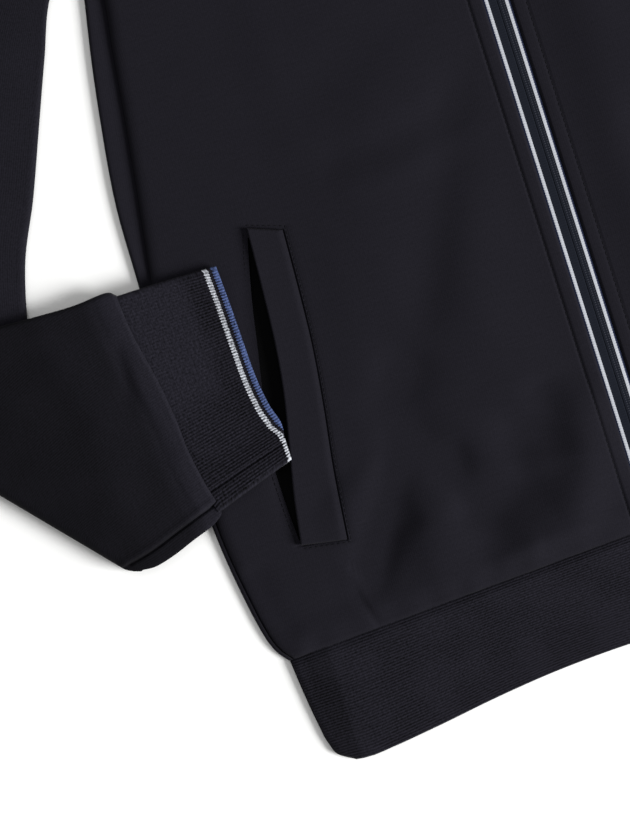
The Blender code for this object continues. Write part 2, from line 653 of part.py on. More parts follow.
def collar_edges(out, is_front, half_width):
    """y of the collar's seam and of its top edge, over the place that out has across the band."""
    share = np.clip((out - ZIP_EDGE) / (half_width - ZIP_EDGE), 0, 1)
    stretched = out * (NECK_POINT[0] - SEAM_GAP) / half_width + SEAM_GAP
    front_seam = np.interp(stretched, *neck_line(ZIP_EDGE, NECK_FRONT_Y, FRONT_NECK_COLUMN))
    front_top = COLLAR_FRONT_TOP_Y + (COLLAR_SIDE_TOP_Y - COLLAR_FRONT_TOP_Y) * share**1.6
    back_seam = np.interp(stretched, *neck_line(0.0, NECK_BACK_Y, BACK_NECK_COLUMN))
    back_top = COLLAR_BACK_TOP_Y + (COLLAR_SIDE_TOP_Y - COLLAR_BACK_TOP_Y) * (out / half_width) ** 2
    seam = np.where(is_front, front_seam, back_seam) + SEAM_GAP
    return seam, np.where(is_front, front_top, back_top)


def add_collar(finish):
    grids = []
    for inset in (0.0, RIB):
        rows = []
        for share in np.linspace(0, 1, COLLAR_ROWS):
            half_width = NECK_POINT[0] - SEAM_GAP + share * (COLLAR_TOP_OUT - NECK_POINT[0])
            out, z, is_front = band_section(half_width, 8, inset)
            seam, top = collar_edges(out, is_front, half_width)
            rows.append(np.column_stack([out, seam + share * (top - seam), z]))
        grids.append(whole_band(rows))
    return add_wall("collar", *grids, finish)


# Zip


def add_tape(side, finish):
    rows = np.linspace(TAPE_LOW_Y, TAPE_HIGH_Y, 3)[:, None]
    out, bottom = column(TAPE_SECTION, "out"), column(TAPE_SECTION, "bottom")
    lower = placed(side, out, rows, bottom)
    upper = placed(side, out, rows, bottom + TAPE_THICKNESS)
    return add_wall(f"zip_tape_{SIDE_NAMES[side]}", upper, lower, finish)


def add_block(name, size, centre, finish, bevel=0.25, origin=None):
    """A small block with softened edges, its origin at its centre unless another is given."""
    corners = np.array([(x, y, z) for z in (-1, 1) for y in (-1, 1) for x in (-1, 1)]) / 2
    faces = [(0, 2, 3, 1), (4, 5, 7, 6), (0, 1, 5, 4), (2, 6, 7, 3), (0, 4, 6, 2), (1, 3, 7, 5)]
    points = corners * np.array(size) + np.array(centre)
    made = add_object(name, points, faces, finish, origin=origin or centre)
    softened = made.modifiers.new("softened edges", "BEVEL")
    softened.width = bevel * METRES
    softened.segments = 1
    return made


def join(target, others):
    """One body from overlapping ones."""
    for other in others:
        union = target.modifiers.new("union", "BOOLEAN")
        union.operation = "UNION"
        union.object = other
        other.hide_render = True
        other.display_type = "WIRE"
    return target


def cut(target, cutter):
    difference = target.modifiers.new("cut", "BOOLEAN")
    difference.operation = "DIFFERENCE"
    difference.object = cutter
    cutter.hide_render = True
    cutter.display_type = "WIRE"
    return target


def in_frame(y):
    return y - MIDDLE_Y


def add_zip(tape_finish, metal, plastic):
    for side in (RIGHT, LEFT):
        add_tape(side, tape_finish)
        centre = (side * 1.7, in_frame(TAPE_HIGH_Y - 2.0), ZIP_FACE + SEAM_GAP + STOP_SIZE[2] / 2)
        add_block(f"zip_stop_{SIDE_NAMES[side]}", STOP_SIZE, centre, plastic)
    length = TAPE_HIGH_Y - TAPE_LOW_Y
    centre = (0, in_frame((TAPE_HIGH_Y + TAPE_LOW_Y) / 2), COIL_BOTTOM + COIL_SIZE[1] / 2)
    add_block("zip_coil", (COIL_SIZE[0], length, COIL_SIZE[1]), centre, plastic)
    box_y = TAPE_LOW_Y - SEAM_GAP - BOX_SIZE[1] / 2
    add_block("zip_box", BOX_SIZE, (0, in_frame(box_y), COIL_BOTTOM + BOX_SIZE[2] / 2), plastic, 0.5)
    pin_y = TAPE_LOW_Y + SEAM_GAP + PIN_SIZE[1] / 2
    pin_z = ZIP_FACE + SEAM_GAP + PIN_SIZE[2] / 2
    add_block("zip_pin", PIN_SIZE, (LEFT * 2.0, in_frame(pin_y), pin_z), plastic)
    add_slider(metal)
    add_pull(metal)


def bridge_bar_height():
    """Height of the pull's axis: in the middle of the space under the bridge."""
    plate_top = ZIP_FACE + SEAM_GAP + SLIDER_PLATE[2]
    return plate_top + (BRIDGE[2] - BRIDGE[3]) / 2


def add_slider(finish):
    plate_middle = ZIP_FACE + SEAM_GAP + SLIDER_PLATE[2] / 2
    plate_top = plate_middle + SLIDER_PLATE[2] / 2
    y = in_frame(SLIDER_Y)
    plate = add_block("zip_slider", SLIDER_PLATE, (0, y, plate_middle), finish, 0.4)
    width, length, height, bar = BRIDGE
    sunk = 0.4  # how deep the bridge's feet stand in the plate
    block_middle = plate_top + (height - sunk) / 2
    block = add_block("bridge block", (width, length, height + sunk), (0, y, block_middle), finish)
    window_size = (width + 2, length - 2 * bar, height - bar)
    window = add_block("bridge window", window_size, (0, y, bridge_bar_height()), finish, 0.2)
    cut(block, window)
    return join(plate, [block])


def add_pull(finish):
    """A tab whose bar lies under the bridge, with its origin on that bar."""
    y, z = in_frame(SLIDER_Y), bridge_bar_height()
    length, width = PULL_LENGTH, PULL_WIDTH
    middle = y + PULL_BAR / 2 - length / 2
    size = (width, length, PULL_THICKNESS)
    tab = add_block("zip_pull", size, (0, middle, z), finish, 0.3, origin=(0, y, z))
    window_size = (*PULL_WINDOW, PULL_THICKNESS + 2)
    window_middle = y - PULL_BAR / 2 - PULL_WINDOW[1] / 2
    window = add_block("pull window", window_size, (0, window_middle, z), finish, 0.2)
    return cut(tab, window)


def main():
    for old in list(bpy.data.objects):
        bpy.data.objects.remove(old)
    jersey = material("double-knit jersey", JERSEY_COLOR, 0.85)
    rib = material("rib knit", RIB_COLOR, 0.85)
    pocketing = material("pocketing", POCKETING_COLOR, 0.9)
    tape = material("woven zip tape", TAPE_COLOR, 0.7)
    metal = material("black enamelled zinc", METAL_COLOR, 0.3)
    plastic = material("moulded zip plastic", PLASTIC_COLOR, 0.45)
    add_back(jersey)
    for side in (RIGHT, LEFT):
        add_front(side, jersey)
        add_welt(side, jersey)
        add_pocket_bag(side, pocketing)
        add_sleeve(side, jersey)
        add_cuff(side, rib)
    add_hem_band(rib)
    add_collar(rib)
    add_zip(tape, metal, plastic)


main()
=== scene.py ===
"""Looks of a dark zip-through track jacket that lies flat on its back, its sleeves folded over the front.

Sizes are in millimetres and meshes are made in metres. X runs across the jacket (+X is the wearer's
left), Y from the hem to the collar, Z up from the floor. "out" is the distance from the zip's line.
Every cloth piece is a wall: two grids of points worked out from formulas, joined along their rims.
"""

from collections import namedtuple
from functools import partial
import math

import bpy
import numpy as np
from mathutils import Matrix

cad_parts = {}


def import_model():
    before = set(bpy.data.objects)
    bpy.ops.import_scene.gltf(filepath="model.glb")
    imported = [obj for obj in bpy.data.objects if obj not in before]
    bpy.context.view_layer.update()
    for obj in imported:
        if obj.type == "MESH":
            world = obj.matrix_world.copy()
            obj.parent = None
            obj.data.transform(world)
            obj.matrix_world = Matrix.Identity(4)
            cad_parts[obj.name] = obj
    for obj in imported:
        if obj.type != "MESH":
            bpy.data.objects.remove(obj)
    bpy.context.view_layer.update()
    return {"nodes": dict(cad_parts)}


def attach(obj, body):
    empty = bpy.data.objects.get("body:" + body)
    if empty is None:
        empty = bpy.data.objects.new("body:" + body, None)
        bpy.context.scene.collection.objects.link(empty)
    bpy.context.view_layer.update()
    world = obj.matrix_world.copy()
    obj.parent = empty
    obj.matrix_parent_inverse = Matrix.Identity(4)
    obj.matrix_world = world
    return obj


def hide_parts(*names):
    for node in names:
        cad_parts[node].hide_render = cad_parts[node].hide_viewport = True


def named_rows(columns, *values):
    """A table: one row with named columns for each tuple of values."""
    row = namedtuple("Row", columns)
    return tuple(row(*one) for one in values)


METRES = 0.001
RIGHT, LEFT = -1, 1  # the wearer's sides, as the sign of X
SIDE_NAMES = {RIGHT: "right", LEFT: "left"}
BODY = "jacket"  # the moving body of the frame that carries all the cloth

# Cloth walls and lofts, as in the frame
SEAM_GAP = 0.3
JERSEY, RIB = 1.5, 1.6
BODY_LOFT, BAND_LOFT = 6.0, 5.6
SIDE_LIFT = 3.0
FRONT_ROLL, BACK_ROLL, BAND_ROLL = 7.0, 3.5, 4.5
ROLL_ANGLES = np.linspace(80.0, 0.0, 9)

# Landmarks of the flat body
ZIP_EDGE = {RIGHT: 7.3, LEFT: 7.4}  # out of the front's turned edge
HEM_SEAM_MIDDLE_Y, HEM_SEAM_SIDE_Y = -296.0, -306.5
ARMPIT_Y, SHOULDER_Y = 100.0, 285.0
NECK_POINT = (85.0, 325.0)
NECK_FRONT_Y, NECK_BACK_Y = 262.0, 318.0
MIDDLE_Y = 1.724  # the frame's origin in Y

# The front's side edge and armhole, and the strip of the back beside it
SIDE_LINE = named_rows(
    "y out strip",
    (HEM_SEAM_SIDE_Y, 210.5, 3.0),
    (-301.0, 215.0, 3.0),
    (-294.0, 218.3, 3.0),
    (-286.0, 220.4, 3.0),
    (-267.0, 223.8, 3.0),
    (-247.0, 226.6, 3.0),
    (-220.0, 228.8, 3.0),
    (-190.0, 229.2, 3.3),
    (-150.0, 227.4, 4.6),
    (-90.0, 222.8, 7.5),
    (-45.0, 216.2, 12.8),
    (0.0, 209.8, 13.6),
    (36.0, 205.2, 12.4),
    (63.0, 201.4, 11.0),
    (ARMPIT_Y, 202.5, 3.0),
    (125.0, 194.0, 3.0),
    (155.0, 190.0, 3.0),
    (200.0, 193.0, 3.0),
    (250.0, 206.0, 3.0),
    (SHOULDER_Y, 222.0, 3.0),
)
WRAP_LOFT, WRAP_GAP, WRAP_ROLLS = 3.6, 0.6, (3.0, 2.0)
WRAP_TOP_Y = 88.0
WRAP_LEAN = 1.9  # how far the strip sinks towards the front's edge

# The pocket's mouth: its lip on the front, and the welt's free edge
MOUTH = named_rows(
    "y lip free_edge",
    (-249.0, 188.8, 188.8),
    (-223.0, 189.9, 184.6),
    (-195.0, 189.6, 178.6),
    (-165.0, 184.2, 172.6),
    (-136.5, 178.6, 169.1),
    (-120.0, 175.6, 167.9),
    (-99.0, 170.9, 166.6),
    (-77.5, 165.4, 165.4),
)
MOUTH_LOW_Y, MOUTH_HIGH_Y = -246.0, -82.0
MOUTH_UNDER_WELT = 7.0
WELT_SEAM = named_rows(
    "y out",
    (-253.4, 164.1),
    (-215.0, 159.9),
    (-180.5, 154.7),
    (-145.1, 150.5),
    (-114.5, 148.6),
    (-84.3, 147.2),
)
WELT_WIDTH, WELT_THICKNESS, WELT_LIFT, WELT_ROUNDING = 20.0, 2.0, 1.2, 1.0
DITCH_DEPTH, DITCH_HALF = 1.5, 0.65  # the seam's furrow round the welt
WELT_STITCH_AWAY = 1.9  # from the welt's edge to the row of sewing round it
LIP_DROP, LIP_REACH = 2.2, 12.0  # how far the front sinks towards the mouth's lip
LIP_STITCH_AWAY = 2.2  # from the lip to the row of sewing beside it

# The largest folds, near the frame's own: soft round ridges between two ends
FOLD_COLUMNS = "start_out start_y end_out end_y half_width height"
FOLDS = {
    RIGHT: named_rows(
        FOLD_COLUMNS,
        (113.0, -246.0, 118.0, -298.0, 22.0, 3.8),
        (40.0, -243.0, 86.0, -243.0, 10.0, 2.2),
        (170.0, -261.0, 195.0, -292.0, 12.0, 0.8),
        (60.0, 5.0, 124.0, -150.0, 22.0, 1.3),
        (46.0, -81.0, 70.0, -190.0, 21.0, 2.1),
        (70.0, 200.0, 165.0, 110.0, 18.0, 3.4),
        (96.0, 120.0, 180.0, 66.0, 16.0, 2.4),
    ),
    LEFT: named_rows(
        FOLD_COLUMNS,
        (92.0, -226.0, 84.0, -292.0, 15.0, 3.8),
        (44.0, -250.0, 60.0, -150.0, 20.0, 2.2),
        (172.0, -264.0, 190.0, -292.0, 12.0, 1.8),
        (58.0, -20.0, 120.0, -140.0, 22.0, 2.2),
        (80.0, 210.0, 168.0, 120.0, 18.0, 3.4),
        (90.0, 108.0, 178.0, 70.0, 16.0, 2.2),
    ),
}
CALM_BESIDE_ZIP = (10.0, 36.0)
CALM_OVER_POCKET = (122.0, 150.0)
CALM_ABOVE_HEM = (0.0, 16.0)
SWELL, LOW_SWELL = 0.9, 1.5  # how far the front's middle stands higher than its rim, and more below
SWELL_BELOW_POCKET = 32.0  # and how much farther out it reaches beside the welt's lower end
LOFT_LEAST = 4.6  # troughs stay this high, clear of the pocket's inside

# Finer creases: soft troughs (negative) and ridges along listed paths of (out, y). Those of the
# fronts calm down above the hem; the seams' short tucks run into it.
CREASE_COLUMNS = "half_width height path"
CREASES = {
    "front_right": named_rows(
        CREASE_COLUMNS,
        (13.0, -1.6, ((24, -16), (60, -92), (84, -142), (100, -166))),
        (16.0, -3.6, ((96, -160), (119, -192), (111, -215), (93, -246))),
        (12.4, -4.3, ((106, -203), (126, -222), (136, -239), (151, -257), (159, -276), (171, -282))),
        (8.0, -1.8, ((120, -248), (138, -257), (151, -271), (162, -285))),
        (9.0, -1.7, ((220, -248), (218, -278), (208, -304))),
        (9.0, -2.2, ((98, -215), (98, -251), (97, -270))),
        (16.0, -4.4, ((46, -215), (56, -228), (66, -248), (86, -260), (99, -275))),
        (15.5, 4.8, ((18, -201), (25, -243), (31, -260), (46, -284), (94, -296))),
        (12.0, 1.6, ((66, -296), (80, -293), (90, -298))),
        (11.0, -1.5, ((42, -197), (39, -222), (42, -248))),
        (15.0, -0.8, ((25, 18), (76, -4), (120, -20), (140, -24))),
        (9.0, -1.2, ((24, -42), (53, -51), (89, -57), (124, -53))),
        (8.0, 0.8, ((24, -57), (50, -68), (89, -74), (122, -69))),
    ),
    "seam_right": named_rows(
        CREASE_COLUMNS,
        (2.2, -1.1, ((170, -277), (166, -290), (160, -307))),
    ),
    "front_left": named_rows(
        CREASE_COLUMNS,
        (20.0, 3.0, ((46, 190), (47, 60), (44, -60), (46, -190))),
        (11.0, -2.2, ((58, -60), (52, -100), (66, -150), (92, -196))),
        (9.0, -3.0, ((112, -206), (126, -240), (146, -264), (166, -280))),
        (8.0, -2.4, ((34, -262), (58, -256), (78, -270), (84, -288))),
        (15.0, -1.6, ((22, 30), (70, 8), (116, -28))),
    ),
    "seam_left": named_rows(
        CREASE_COLUMNS,
        (2.2, -1.2, ((174, -282), (171, -293), (168, -304))),
    ),
    "forearm": named_rows(
        CREASE_COLUMNS,
        (4.5, -1.0, ((250, -110), (251, -132), (254, -152))),
        (14.0, -1.3, ((262, -110), (258, -140), (248, -165), (238, -190))),
        (12.0, -1.2, ((300, -100), (296, -130), (276, -160))),
        (16.0, 1.0, ((320, -120), (300, -170), (268, -210))),
    ),
    "upper_arm": named_rows(
        CREASE_COLUMNS,
        (18.0, -2.0, ((240, 120), (280, 70), (310, 20))),
        (16.0, 1.8, ((270, 150), (320, 90), (350, 30))),
        (16.0, -1.8, ((330, 60), (350, 0), (370, -50))),
    ),
}

Ring = namedtuple("Ring", "under_out under_y over_out over_y middle_z half_depth")
SLEEVE_DEPTH, LAYER_GAP = 3.0, 1.6
TURN_RADIUS = SLEEVE_DEPTH + LAYER_GAP / 2  # of the sleeve's middle, round the elbow's fold
ARMHOLE_GAP = 0.55
CREASE_LINE = ((283.2, -231.8), (416.0, -85.0))  # the elbow's fold, out and y of its two ends
FOLD_CORNER = (273.6, -236.0)  # where the layers' under edges meet below the fold's end
UPPER_ARM = tuple(
    Ring(*plan, SLEEVE_DEPTH, SLEEVE_DEPTH)
    for plan in (
        (203.3, 100.0, 222.3, 285.0),
        (228.0, 75.0, 280.0, 243.0),
        (242.0, 42.0, 330.0, 195.0),
        (255.0, 10.0, 370.0, 140.0),
        (270.0, -27.0, 397.0, 85.0),
        (286.0, -63.0, 412.0, 35.0),
        (296.0, -110.0, 419.0, -5.0),
        (296.0, -170.0, 420.0, -45.0),
    )
)
FOREARM_Z = 3 * SLEEVE_DEPTH + LAYER_GAP
FOREARM = (
    Ring(266.0, -236.3, 376.0, -85.5, FOREARM_Z, SLEEVE_DEPTH),
    Ring(255.0, -233.5, 335.0, -87.2, FOREARM_Z, SLEEVE_DEPTH),
    Ring(243.0, -229.0, 296.0, -88.8, 10.5, SLEEVE_DEPTH),
    Ring(232.0, -225.0, 268.0, -89.6, 10.3, 2.9),
    Ring(226.5, -221.5, 248.5, -88.2, 10.2, 2.9),
    Ring(223.8, -218.3, 242.8, -91.2, 10.1, 2.7),
)
CUFF = (
    Ring(223.5, -218.2, 242.7, -91.6, 10.0, 2.5),
    Ring(203.0, -211.0, 216.0, -91.5, 9.6, 2.45),
    Ring(181.0, -203.5, 189.0, -92.1, 9.4, 2.35),
)
# How far the cuff's seam and its edge bow away from a straight line, over the share of its width
CUFF_BOW = named_rows(
    "share seam edge",
    (0.0, -0.7, -1.6),
    (0.11, 1.0, -2.3),
    (0.175, 1.4, -3.4),
    (0.28, 1.5, -1.1),
    (0.41, 0.1, 0.1),
    (0.62, -0.1, -0.5),
    (0.82, 1.1, -1.4),
    (1.0, 0.0, -1.8),
)
RIB_PITCH = 1.75  # of the cuffs' 1x1 rib
CUFF_RIBS, CUFF_RIB_HEIGHT, RIB_POINTS = 70, 0.4, 4
CUFF_LENGTH = 50.0
CUFF_ROLL = 4.6  # how far the stripes roll under at the cuff's under side
CUFF_JOIN = 0.092  # share of the width where the cuff's own join shows

HEM_ROWS = named_rows(
    "share half_width",
    (0.0, 213.2),
    (0.3, 211.4),
    (0.6, 209.0),
    (0.8, 206.6),
    (0.92, 203.0),
    (1.0, 195.0),
)
HEM_EDGE = named_rows(
    "out y",
    (0.0, -352.5),
    (56.0, -353.6),
    (78.0, -355.0),
    (109.0, -358.4),
    (149.0, -364.3),
    (173.0, -367.4),
    (188.0, -368.7),
    (196.0, -368.0),
)
HEM_SIDE_SLOPE = 1.6  # how far the hem's face falls off towards its sides
HEM_RIBS, COLLAR_RIBS, BAND_RIB_HEIGHT = 41, 36, 0.3
BAND_ROUNDING = 1.2  # how far a band's face falls off at its edge and at the zip
BAND_PITCH = 1.4  # of the ribs that run along the bands
COLLAR_TOP_OUT = 78.0
COLLAR_FRONT_TOP_Y, COLLAR_SIDE_TOP_Y, COLLAR_BACK_TOP_Y = 316.0, 372.0, 367.0

# Zip
TAPE_LOW_Y, TAPE_HIGH_Y = -339.0, 315.5
TAPE_THICKNESS, TAPE_UNDER_FRONT, TAPE_RISE = 0.8, 3.8, 0.6
COIL_PITCH, COIL_TOP = 1.3, 4.33
COIL_ROWS = (1.45, 2.95)
LOOP_SIZE = (1.25, 0.9, 0.45)  # length across the tape, width and height
STITCH_OUT = {RIGHT: 15.2, LEFT: 15.0}  # the row that holds each front to its tape
STITCH_FURROW = {RIGHT: 0.7, LEFT: 0.4}
STRIPE_SHIFT = {RIGHT: 0.4, LEFT: -0.05}  # how far each tape's stripes lie out of their usual place
STITCH_LENGTH, STITCH_PITCH, THREAD_RADIUS = 2.3, 3.0, 0.26

# View: straight down on the jacket's lower right part, turned by the photo's tilt
VIEW_CENTRE = (-161.3, -188.7)
VIEW_HEIGHT = 453.6  # of jacket in the frame's long side
VIEW_TILT = 17.5  # degrees
CAMERA_HEIGHT = 1600.0
SENSOR = 36.0


# Curves


def column(table, name):
    """One column of a table, as an array."""
    return np.array([getattr(row, name) for row in table])


def smooth(knots, values, x):
    """A cubic curve through the knots, whose slope at each is that of its neighbours."""
    knots, values = np.asarray(knots, float), np.asarray(values, float)
    slopes = np.gradient(values, knots)
    x = np.clip(x, knots[0], knots[-1])
    i = np.clip(np.searchsorted(knots, x) - 1, 0, len(knots) - 2)
    step = knots[i + 1] - knots[i]
    t = (x - knots[i]) / step
    start = (1 + 2 * t) * (1 - t) ** 2 * values[i] + t * (1 - t) ** 2 * step * slopes[i]
    end = t**2 * (3 - 2 * t) * values[i + 1] - t**2 * (1 - t) * step * slopes[i + 1]
    return start + end


def ease(x, low, high):
    """0 below low, 1 above high, and a soft S between them."""
    t = np.clip((x - low) / (high - low), 0, 1)
    return t * t * (3 - 2 * t)


def bell(distance, half_width):
    """1 on a line, and a soft fall on both its sides."""
    return np.exp(-((distance / half_width) ** 2))


def quarter_round(distance, radius):
    """1 on an edge and 0 from one radius inwards, along a quarter of a circle."""
    t = 1 - np.clip(distance / radius, 0, 1)
    return 1 - np.sqrt(1 - t**2)


def runs(*spans):
    """One row of values from (start, end, count) spans, without each span's end but the last's."""
    parts = [np.linspace(start, end, count, endpoint=False) for start, end, count in spans]
    return np.append(np.concatenate(parts), spans[-1][1])


def follow(table, along, name, x):
    """A column of the table on a smooth curve, at the places x along another column."""
    return smooth(column(table, along), column(table, name), x)


side_out = partial(follow, SIDE_LINE, "y", "out")
strip_width = partial(follow, SIDE_LINE, "y", "strip")
lip_out = partial(follow, MOUTH, "y", "lip")
free_edge_out = partial(follow, MOUTH, "y", "free_edge")
welt_seam_out = partial(follow, WELT_SEAM, "y", "out")
hem_edge_y = partial(follow, HEM_EDGE, "out", "y")
cuff_seam_bow = partial(follow, CUFF_BOW, "share", "seam")
cuff_edge_bow = partial(follow, CUFF_BOW, "share", "edge")


def hem_seam_y(out):
    """The hem's seam is straight in plan, and lower at the sides."""
    slope = (HEM_SEAM_SIDE_Y - HEM_SEAM_MIDDLE_Y) / side_out(HEM_SEAM_SIDE_Y)
    return HEM_SEAM_MIDDLE_Y + slope * out


# Mesh making


def add_mesh(name, points, faces, corners, uv, finish, sharp=50.0):
    """One object at the origin from points, four-cornered faces and each corner's place in uv."""
    a, b, c, d = (points[faces[:, k]] for k in range(4))
    volume = sum(np.linalg.det(np.stack(half, 1)).sum() for half in ((a, b, c), (a, c, d)))
    if volume < 0:
        faces, corners = faces[:, ::-1], corners[:, ::-1]
    mesh = bpy.data.meshes.new(name)
    mesh.vertices.add(len(points))
    mesh.vertices.foreach_set("co", (points * METRES).astype(np.float32).ravel())
    mesh.loops.add(faces.size)
    mesh.loops.foreach_set("vertex_index", np.ascontiguousarray(faces, np.int32).ravel())
    mesh.polygons.add(len(faces))
    mesh.polygons.foreach_set("loop_start", np.arange(0, faces.size, 4, dtype=np.int32))
    layer = mesh.uv_layers.new(name="cloth")
    layer.data.foreach_set("uv", uv.reshape(-1, 2)[corners.ravel()].astype(np.float32).ravel())
    mesh.update(calc_edges=True)
    mesh.validate()
    mesh.materials.append(finish)
    mesh.shade_smooth()
    mesh.set_sharp_from_angle(angle=math.radians(sharp))
    made = bpy.data.objects.new(name, mesh)
    bpy.context.scene.collection.objects.link(made)
    return made


def cells_of(grid):
    """The four corners of each cell of a grid of numbers."""
    return np.stack([grid[:-1, :-1], grid[:-1, 1:], grid[1:, 1:], grid[1:, :-1]], -1)


def add_wall(name, outer, inner, uv, finish, closed=False, keep=None):
    """A wall between two grids of points, with a rim along each border of the kept cells.

    uv has a place for each grid point, and one more column where the grid closes on itself.
    """
    count = outer.shape[0] * outer.shape[1]
    index = np.arange(count).reshape(outer.shape[:2])
    if closed:
        index = np.hstack([index, index[:, :1]])
    place = np.arange(index.size).reshape(index.shape)
    cells, places = cells_of(index), cells_of(place)
    if keep is None:
        keep = np.ones(cells.shape[:2], bool)
    cells, places = cells[keep], places[keep]
    edges = np.concatenate([cells[:, [k, (k + 1) % 4]] for k in range(4)])
    edge_places = np.concatenate([places[:, [k, (k + 1) % 4]] for k in range(4)])
    there, back = edges[:, 0] * count + edges[:, 1], edges[:, 1] * count + edges[:, 0]
    border = ~np.isin(there, back)
    start, end = edges[border].T
    rims = np.stack([end, start, start + count, end + count], 1)
    rim_places = edge_places[border][:, [1, 0, 0, 1]]
    faces = np.concatenate([cells, cells[:, ::-1] + count, rims])
    corners = np.concatenate([places, places[:, ::-1], rim_places])
    points = np.concatenate([outer.reshape(-1, 3), inner.reshape(-1, 3)]) - (0, MIDDLE_Y, 0)
    used, faces = np.unique(faces, return_inverse=True)
    return add_mesh(name, points[used], faces.reshape(-1, 4), corners, uv, finish)


def girth(points):
    """Distance round each row of points, seen along Y."""
    steps = np.hypot(np.diff(points[..., 0], axis=1), np.diff(points[..., 2], axis=1))
    return np.hstack([0 * steps[:, :1], np.cumsum(steps, axis=1)])


def placed(side, out, y, z):
    """Points on one side of the jacket."""
    return np.stack(np.broadcast_arrays(side * out, y, z), -1)


def flat_uv(out, y):
    """Places in the UV map, in millimetres."""
    return np.stack(np.broadcast_arrays(out, y), -1)


# Fronts and back


def fold_height(side, out, y):
    """Soft round ridges: each falls off as a bell across its line and fades towards its two ends."""
    height = np.zeros(np.broadcast(out, y).shape)
    for fold in FOLDS[side]:
        run = np.array([fold.end_out - fold.start_out, fold.end_y - fold.start_y])
        length = np.hypot(*run)
        along = ((out - fold.start_out) * run[0] + (y - fold.start_y) * run[1]) / length**2
        across = ((out - fold.start_out) * run[1] - (y - fold.start_y) * run[0]) / length
        fade = ease(along, -0.15, 0.35) * (1 - ease(along, 0.65, 1.15))
        height += fold.height * fade * bell(across, fold.half_width)
    calm = ease(out, *CALM_BESIDE_ZIP) * (1 - ease(out, *CALM_OVER_POCKET) * (1 - ease(y, 20, 70)))
    return height * calm


def path_distance(path, out, y):
    """Distance to a path of straight steps, and the share of its length at the nearest point."""
    path = np.array(path, float)
    steps = np.diff(path, axis=0)
    lengths = np.hypot(*steps.T)
    reached = np.concatenate([[0], np.cumsum(lengths)])
    nearest = np.full(np.broadcast(out, y).shape, np.inf)
    share = np.zeros_like(nearest)
    for start, step, length, before in zip(path[:-1], steps, lengths, reached):
        t = np.clip(((out - start[0]) * step[0] + (y - start[1]) * step[1]) / length**2, 0, 1)
        distance = np.hypot(out - start[0] - t * step[0], y - start[1] - t * step[1])
        closer = distance < nearest
        nearest = np.where(closer, distance, nearest)
        share = np.where(closer, (before + t * length) / reached[-1], share)
    return nearest, share


def crease_height(piece, out, y):
    """Bell-shaped troughs and ridges along the piece's listed paths, fading at both ends."""
    height = np.zeros(np.broadcast(out, y).shape)
    for crease in CREASES[piece]:
        distance, share = path_distance(crease.path, out, y)
        fade = ease(share, 0.0, 0.2) * (1 - 0.8 * ease(share, 0.8, 1.0))
        height += crease.height * fade * bell(distance, crease.half_width)
    return height


def front_loft(side, out, y):
    """Height of the front's face without its seams: level at the bands and the zip, fuller between."""
    full = ease(out, *CALM_BESIDE_ZIP) * ease(y, HEM_SEAM_SIDE_Y, HEM_SEAM_SIDE_Y + 18)
    loft = BAND_LOFT + (BODY_LOFT - BAND_LOFT) * full + fold_height(side, out, y)
    low = SWELL_BELOW_POCKET * (1 - ease(y, -240, -205))
    clear_of_pocket = 1 - ease(out - low, *CALM_OVER_POCKET) * (1 - ease(y, 20, 70))
    swell = (SWELL + LOW_SWELL * (1 - ease(y, -250, -130))) * ease(out, 15, 60)
    loft = loft + swell * clear_of_pocket * ease(y, -300, -270) * (1 - ease(y, 60, 140))
    clear_of_seam = ease(y - hem_seam_y(out), *CALM_ABOVE_HEM)
    loft = loft + crease_height(f"front_{SIDE_NAMES[side]}", out, y) * (0.2 + 0.8 * clear_of_seam)
    loft = loft + crease_height(f"seam_{SIDE_NAMES[side]}", out, y)
    return LOFT_LEAST + 0.4 * np.logaddexp(0, (loft - LOFT_LEAST) / 0.4)


def welt_outline():
    """The welt's sewn sides as a path: its top end, its seam and its bottom end."""
    seam_y = np.linspace(WELT_SEAM[-1].y, WELT_SEAM[0].y, 12)
    top, bottom = (MOUTH[-1].free_edge, MOUTH[-1].y), (MOUTH[0].free_edge, MOUTH[0].y)
    return [top, *zip(welt_seam_out(seam_y), seam_y), bottom]


def furrow(distance, half, depth):
    """A narrow round furrow beside a line of sewing."""
    return -depth * bell(distance, half)


def welt_stitch_path():
    """The row of sewing round the welt: its outline, moved outwards past each corner."""
    outline = np.array(welt_outline())
    moved = outline + np.array([-WELT_STITCH_AWAY, 0.0])
    moved[0] = outline[0] + (0.5, WELT_STITCH_AWAY)
    moved[1] = outline[1] + (-WELT_STITCH_AWAY, WELT_STITCH_AWAY)
    moved[-2] = outline[-2] + (-WELT_STITCH_AWAY, -WELT_STITCH_AWAY)
    moved[-1] = outline[-1] + (0.5, -WELT_STITCH_AWAY)
    return moved


# Above the hem's seam: a low roll, its puckers, and the cloth's dive into the seam
ROLL_HEIGHT, ROLL_ABOVE, ROLL_HALF = 0.9, 10.0, 6.5
PUCKER_HEIGHT, PUCKER_REACH = 0.35, 9.0
DIVE_DEPTH, DIVE_REACH = 2.6, 3.2


def hem_puff(side, out, above):
    """The cloth above the hem's seam: it swells in a low roll, puckered at uneven steps, and dives in."""
    puckers = np.sin(out / 3.1 + 1.3 * np.sin(out / 17.0) + side) + 0.7 * np.sin(out / 5.7 + 2.0)
    swell = ROLL_HEIGHT * bell(above - ROLL_ABOVE, ROLL_HALF)
    pucker = PUCKER_HEIGHT * puckers * bell(above, PUCKER_REACH)
    return swell + pucker - DIVE_DEPTH * quarter_round(above, DIVE_REACH)


